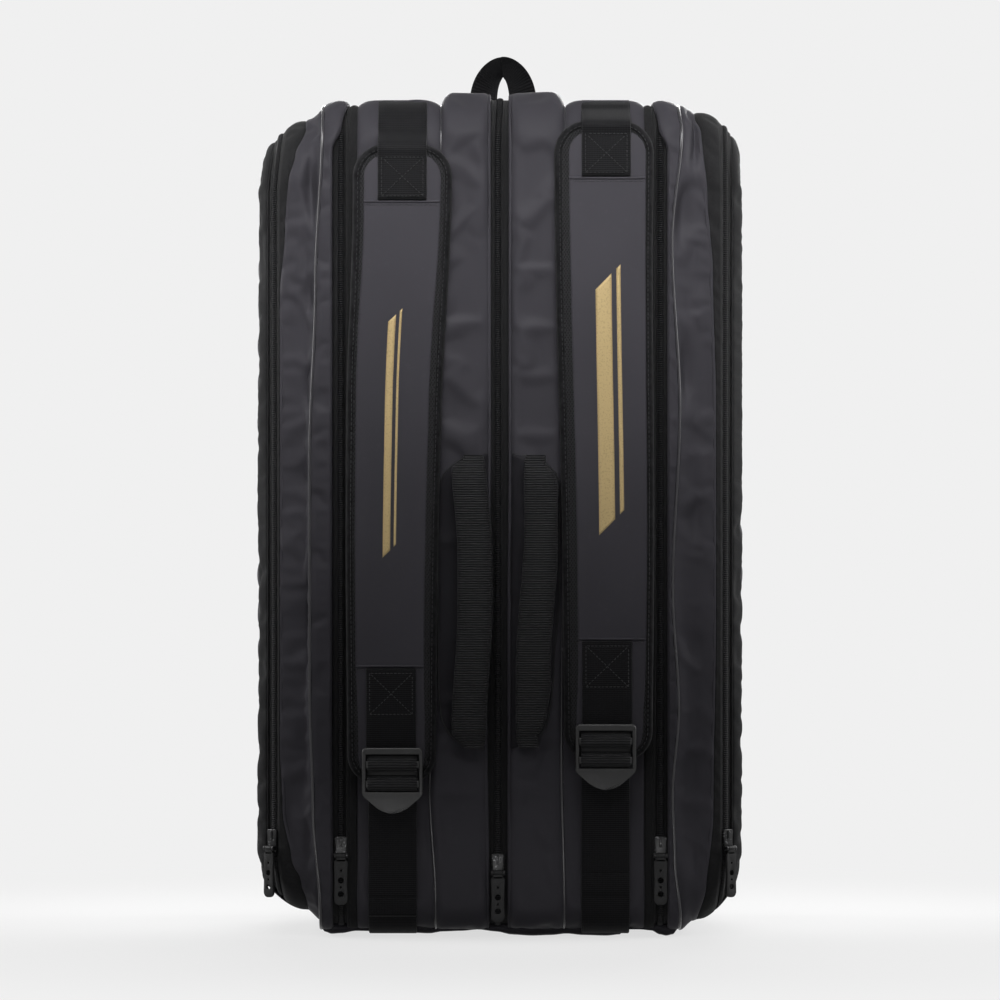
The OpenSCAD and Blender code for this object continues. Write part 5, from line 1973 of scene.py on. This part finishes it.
def boxStitch(side, x, y, z0, z1, half):
    # a stitched box with a cross inside
    ends = ((x - half, z0), (x + half, z0), (x + half, z1), (x - half, z1))
    corners = [Vector((across, y, z)) for across, z in ends]
    for a, b in ((0, 1), (1, 2), (2, 3), (3, 0), (0, 2), (1, 3)):
        stitching[side].addRow([corners[a], corners[b]], forwards, "box")


def makeUpperWeb(pad):
    # webbing sewn to the top of the bag, over its edge and down onto the pad
    frontY, topZ = mainLoop.low[0], mainLoop.high[1]
    edge = mainSet["corners"][1]
    x = pad.x + webSet["upperShift"][pad.side]
    lift = frontY - pad.back + 0.6 * mm
    radius = edge + lift
    centre = Vector((x, frontY + edge, topZ - edge))
    hingeAngle = math.asin((pad.top + webSet["hingeRise"] - centre.z) / radius)
    knots = [Vector((x, centre.y + webSet["anchor"] * share, topZ + lift)) for share in (1, 0.5)]
    for k in range(7):
        angle = turn / 4 + (turn / 4 - hingeAngle) * k / 6
        knots.append(centre + Vector((0, math.cos(angle) * radius, math.sin(angle) * radius)))
    front = pad.front - webSet["faceGap"]
    knots += [
        Vector((x, front + deeper, z)) for deeper, z in (
            (-0.4 * mm, pad.top - 1 * mm), (0, pad.top - 12 * mm), (0, pad.seamZ + 20 * mm),
            (0.3 * mm, pad.seamZ + 1.5 * mm),
        )
    ]
    points = smoothPath(knots, webSet["step"])
    for point in points:
        if point.z < pad.top and point.y < pad.back:
            point.y -= pad.wander(point.z)
    section = bandSection(webSet["upperWidth"], webSet["thickness"])
    piece = sweep("upper_webbing_" + pad.side, bandStations(points), section, "webbing")
    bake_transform(piece)
    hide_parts("strap_anchors", "upper_web_" + pad.side)
    y = front - webSet["thickness"] / 2 - 0.5 * mm
    half = webSet["upperWidth"] / 2 - webSet["stitchInset"]
    boxStitch(pad.side, x, y, pad.seamZ + 5 * mm, pad.seamZ + 41 * mm, half)
    # two rows hold the webbing down on the top of the bag
    z = topZ + lift + webSet["thickness"] / 2 + 0.1 * mm
    for back in (4 * mm, 6.5 * mm):
        y = centre.y + webSet["anchor"] - back
        stitching["bag"].addRow([Vector((x + end * 19 * mm, y, z)) for end in (-1, 1)], Vector((0, 0, 1)))


def makeLowerWeb(pad):
    # webbing sewn to the face, passing behind the buckle's top bar
    low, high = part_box("buckle_" + pad.side)
    behind = (low.y + high.y) / 2 + webSet["barRadius"] + webSet["wrapGap"] + webSet["thickness"] / 2
    x, barZ, top = pad.x + webSet["lowerShift"][pad.side], pad.barZ, pad.lowSeamZ - 1.5 * mm
    front = pad.front - webSet["lowerFaceGap"]
    knots = [
        Vector((x, y, z)) for y, z in (
            (front + 0.4 * mm, top), (front, top - 12 * mm), (front, top - 42 * mm),
            ((front + behind) / 2, barZ + 17 * mm),
            (behind, barZ + 6 * mm), (behind, barZ - 4 * mm), (behind, barZ - 9 * mm),
        )
    ]
    stations = bandStations(smoothPath(knots, webSet["lowerStep"]))
    section = bandSection(webSet["lowerWidth"], webSet["thickness"])
    piece = sweep("lower_webbing_" + pad.side, stations, section, "webbing")
    settle(piece, "strap_" + pad.side, "webbing", "lower_web_" + pad.side)
    y = front - webSet["thickness"] / 2 - 0.1 * mm
    boxStitch(pad.side, x, y, top - 43 * mm, top - 5 * mm, webSet["lowerWidth"] / 2 - webSet["stitchInset"])


pads = {side: Pad(side) for side in sides}
for side, pad in pads.items():
    makePad(pad)
    makeBinding(pad)
    makeStripes(pad, makeFace(pad))
    makeUpperWeb(pad)
    makeLowerWeb(pad)


print("buckles and strap tails")

buckleSet = {
    "width": 56.5 * mm, "arm": 3.6 * mm, "thickness": 4.6 * mm, "lipTop": -38.4 * mm, "tip": -58.2 * mm,
    "tipWidth": 17 * mm, "tipRound": 9 * mm, "shoulder": 3 * mm, "shoulderRound": 4 * mm, "lean": 1.4 * mm,
    "topBar": (-3.8 * mm, 3.1 * mm), "cornerRound": 4.2 * mm, "armRound": 1.3 * mm,
    "crossBars": (-13 * mm, -31 * mm), "crossHeight": 6.5 * mm, "crossThickness": 3.2 * mm,
    "shift": {"left": -3.2 * mm, "right": 1.5 * mm},
}
wrapSet = {
    "width": 46.5 * mm, "thinning": 0.8, "step": 0.9 * mm,
    # the threaded webbing's way round one bar, in millimetres: depth, side of the bar and distance from it
    "round": (
        (1.0, 1, 0.8), (-1.6, 1, 0.0), (-3.4, 1, -2.2), (-3.9, 0, 0.0), (-3.4, -1, 2.2), (-1.6, -1, 0.0),
        (1.0, -1, -0.8), (2.9, -1, -2.4),
    ),
    # the end laid behind both bars, coloured near-black as painted shade: width, thickness, step and way down
    # as (depth, height)
    "end": (48 * mm, 0.8 * mm), "endStep": 2 * mm,
    "endWay": ((2.4, -3.6), (2.0, -12), (2.0, -30), (2.4, -37)),
}
tailSet = {"width": 45 * mm, "lift": 5.5 * mm, "step": 3 * mm, "split": 135 * mm}


def buckleModel():
    # at the origin: the top bar's axis is X, the frame hangs down Z and -Y is outward
    wide, thick, arm = buckleSet["width"], buckleSet["thickness"], buckleSet["arm"]
    lipTop, tip = buckleSet["lipTop"], buckleSet["tip"]
    lip = block("buckle", (wide, thick, lipTop - tip), (0, 0, (lipTop + tip) / 2), "plastic")
    shoulder = lipTop - buckleSet["shoulder"]
    splitAt(lip, (0, 0, shoulder))
    narrowed = (buckleSet["tipWidth"] / wide, 1, 1)
    shapeVerts(lip, lambda co: co.z < tip + 0.1 * mm, narrowed, (0, -buckleSet["lean"], 0))
    bevelThrough(lip, buckleSet["tipRound"], 6, lambda z: z < tip + 0.1 * mm)
    bevelThrough(lip, buckleSet["shoulderRound"], 4, lambda z: abs(z - shoulder) < 0.1 * mm)
    softenEdges(lip, 1.2 * mm, 4, 50)
    parts = [lip]
    for sign in (-1, 1):
        x = sign * (wide / 2 - arm / 2)
        side = block("side", (arm, thick, 1 * mm - lipTop), (x, 0, (lipTop - 1 * mm) / 2), "plastic")
        softenEdges(side, buckleSet["armRound"], 4, 50)
        parts.append(side)
    low, high = buckleSet["topBar"]
    bar = block("bar", (wide, thick - 0.6 * mm, high - low), (0, -0.3 * mm, (low + high) / 2), "plastic")
    bevelThrough(bar, buckleSet["cornerRound"], 6, lambda z: z > 0)
    softenEdges(bar, 1.7 * mm, 4, 50)
    parts.append(bar)
    for z in buckleSet["crossBars"]:
        size = (wide - arm, buckleSet["crossThickness"], buckleSet["crossHeight"])
        cross = block("cross", size, (0, 0.2 * mm, z), "plastic")
        softenEdges(cross, 1 * mm, 3, 50)
        parts.append(cross)
    buckle = joinAll("buckle", parts)
    shadeByAngle(buckle)
    return buckle


def buckleOf(pad):
    low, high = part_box("buckle_" + pad.side)
    return Vector((pad.x + buckleSet["shift"][pad.side], (low.y + high.y) / 2, pad.barZ))


def makeWrap(pad):
    # the tail's webbing, threaded over both cross bars and hanging behind the frame; its turns round the bars
    # get a lighter finish than the tail as painted light, and its end behind the bars a near-black one as
    # painted shade
    thick = webSet["thickness"]
    reach = buckleSet["crossHeight"] / 2 / mm + thick / mm / 2 + 0.9
    way = [
        (depth, bar / mm + reach * toSide + further)
        for bar in buckleSet["crossBars"] for depth, toSide, further in wrapSet["round"]
    ]
    paintedLightWrap = bandSection(wrapSet["width"], thick * wrapSet["thinning"])
    for name, way, step, section, finish in (
        # painted light: the turns round the bars get the lighter grip webbing finish, a lit copy of the
        # tail's webbing
        ("paintedLightWrap", way, wrapSet["step"], paintedLightWrap, "gripWebbing"),
        # the end of the webbing, laid flat behind both bars, given the near-black coil finish as painted
        # shade
        ("painted_shade_web_end", wrapSet["endWay"], wrapSet["endStep"], bandSection(*wrapSet["end"]), "coil"),
    ):
        knots = [buckleOf(pad) + Vector((0, y * mm, z * mm)) for y, z in way]
        piece = sweep(f"buckle_{name}_{pad.side}", bandStations(smoothPath(knots, step)), section, finish)
        settle(piece, "buckle_" + pad.side, "webbing")


def makeTail(pad):
    # webbing from the buckle down the panel and under the base's edge
    frontY, lowZ = mainLoop.low
    corner, lift = mainSet["corners"][0], tailSet["lift"]
    place = buckleOf(pad)
    x, splitZ = place.x, pad.barZ - tailSet["split"]
    knots = [
        Vector((x, y, z)) for y, z in (
            (place.y + 3.2 * mm, place.z - 41 * mm), (place.y + 5.2 * mm, place.z - 58 * mm),
            (frontY - 11 * mm, pad.barZ - 95 * mm), (frontY - 9 * mm, splitZ),
            (frontY - 7.5 * mm, splitZ - 20 * mm), (frontY - lift, lowZ + corner + 8 * mm),
        )
    ]
    centre, radius = Vector((x, frontY + corner, lowZ + corner)), corner + lift
    for k in range(6):
        angle = turn / 4 * k / 5
        knots.append(centre - Vector((0, math.cos(angle) * radius, math.sin(angle) * radius)))
    points = smoothPath(knots, tailSet["step"])
    stations = bandStations(points)
    section = bandSection(tailSet["width"], webSet["thickness"])
    cut = next(k for k, p in enumerate(points) if p.z < splitZ)
    piece = sweep("tail_upper_" + pad.side, stations[:cut + 1], section, "webbing")
    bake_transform(piece)
    piece = sweep("tail_lower_" + pad.side, stations[cut:], section, "webbing")
    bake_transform(piece)
    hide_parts("strap_tail_" + pad.side)


buckleBase = buckleModel()
for side, pad in pads.items():
    settle(copyTo(buckleBase, "buckle_frame_" + side, Matrix.Translation(buckleOf(pad))),
           "buckle_" + side, "buckle_plastic", "buckle_" + side)
    makeWrap(pad)
    makeTail(pad)
bpy.data.objects.remove(buckleBase)

print("stitches")

for side in sides:
    stitching[side].finish("strap_mesh")
stitching["bag"].finish("webbing")

print("done")
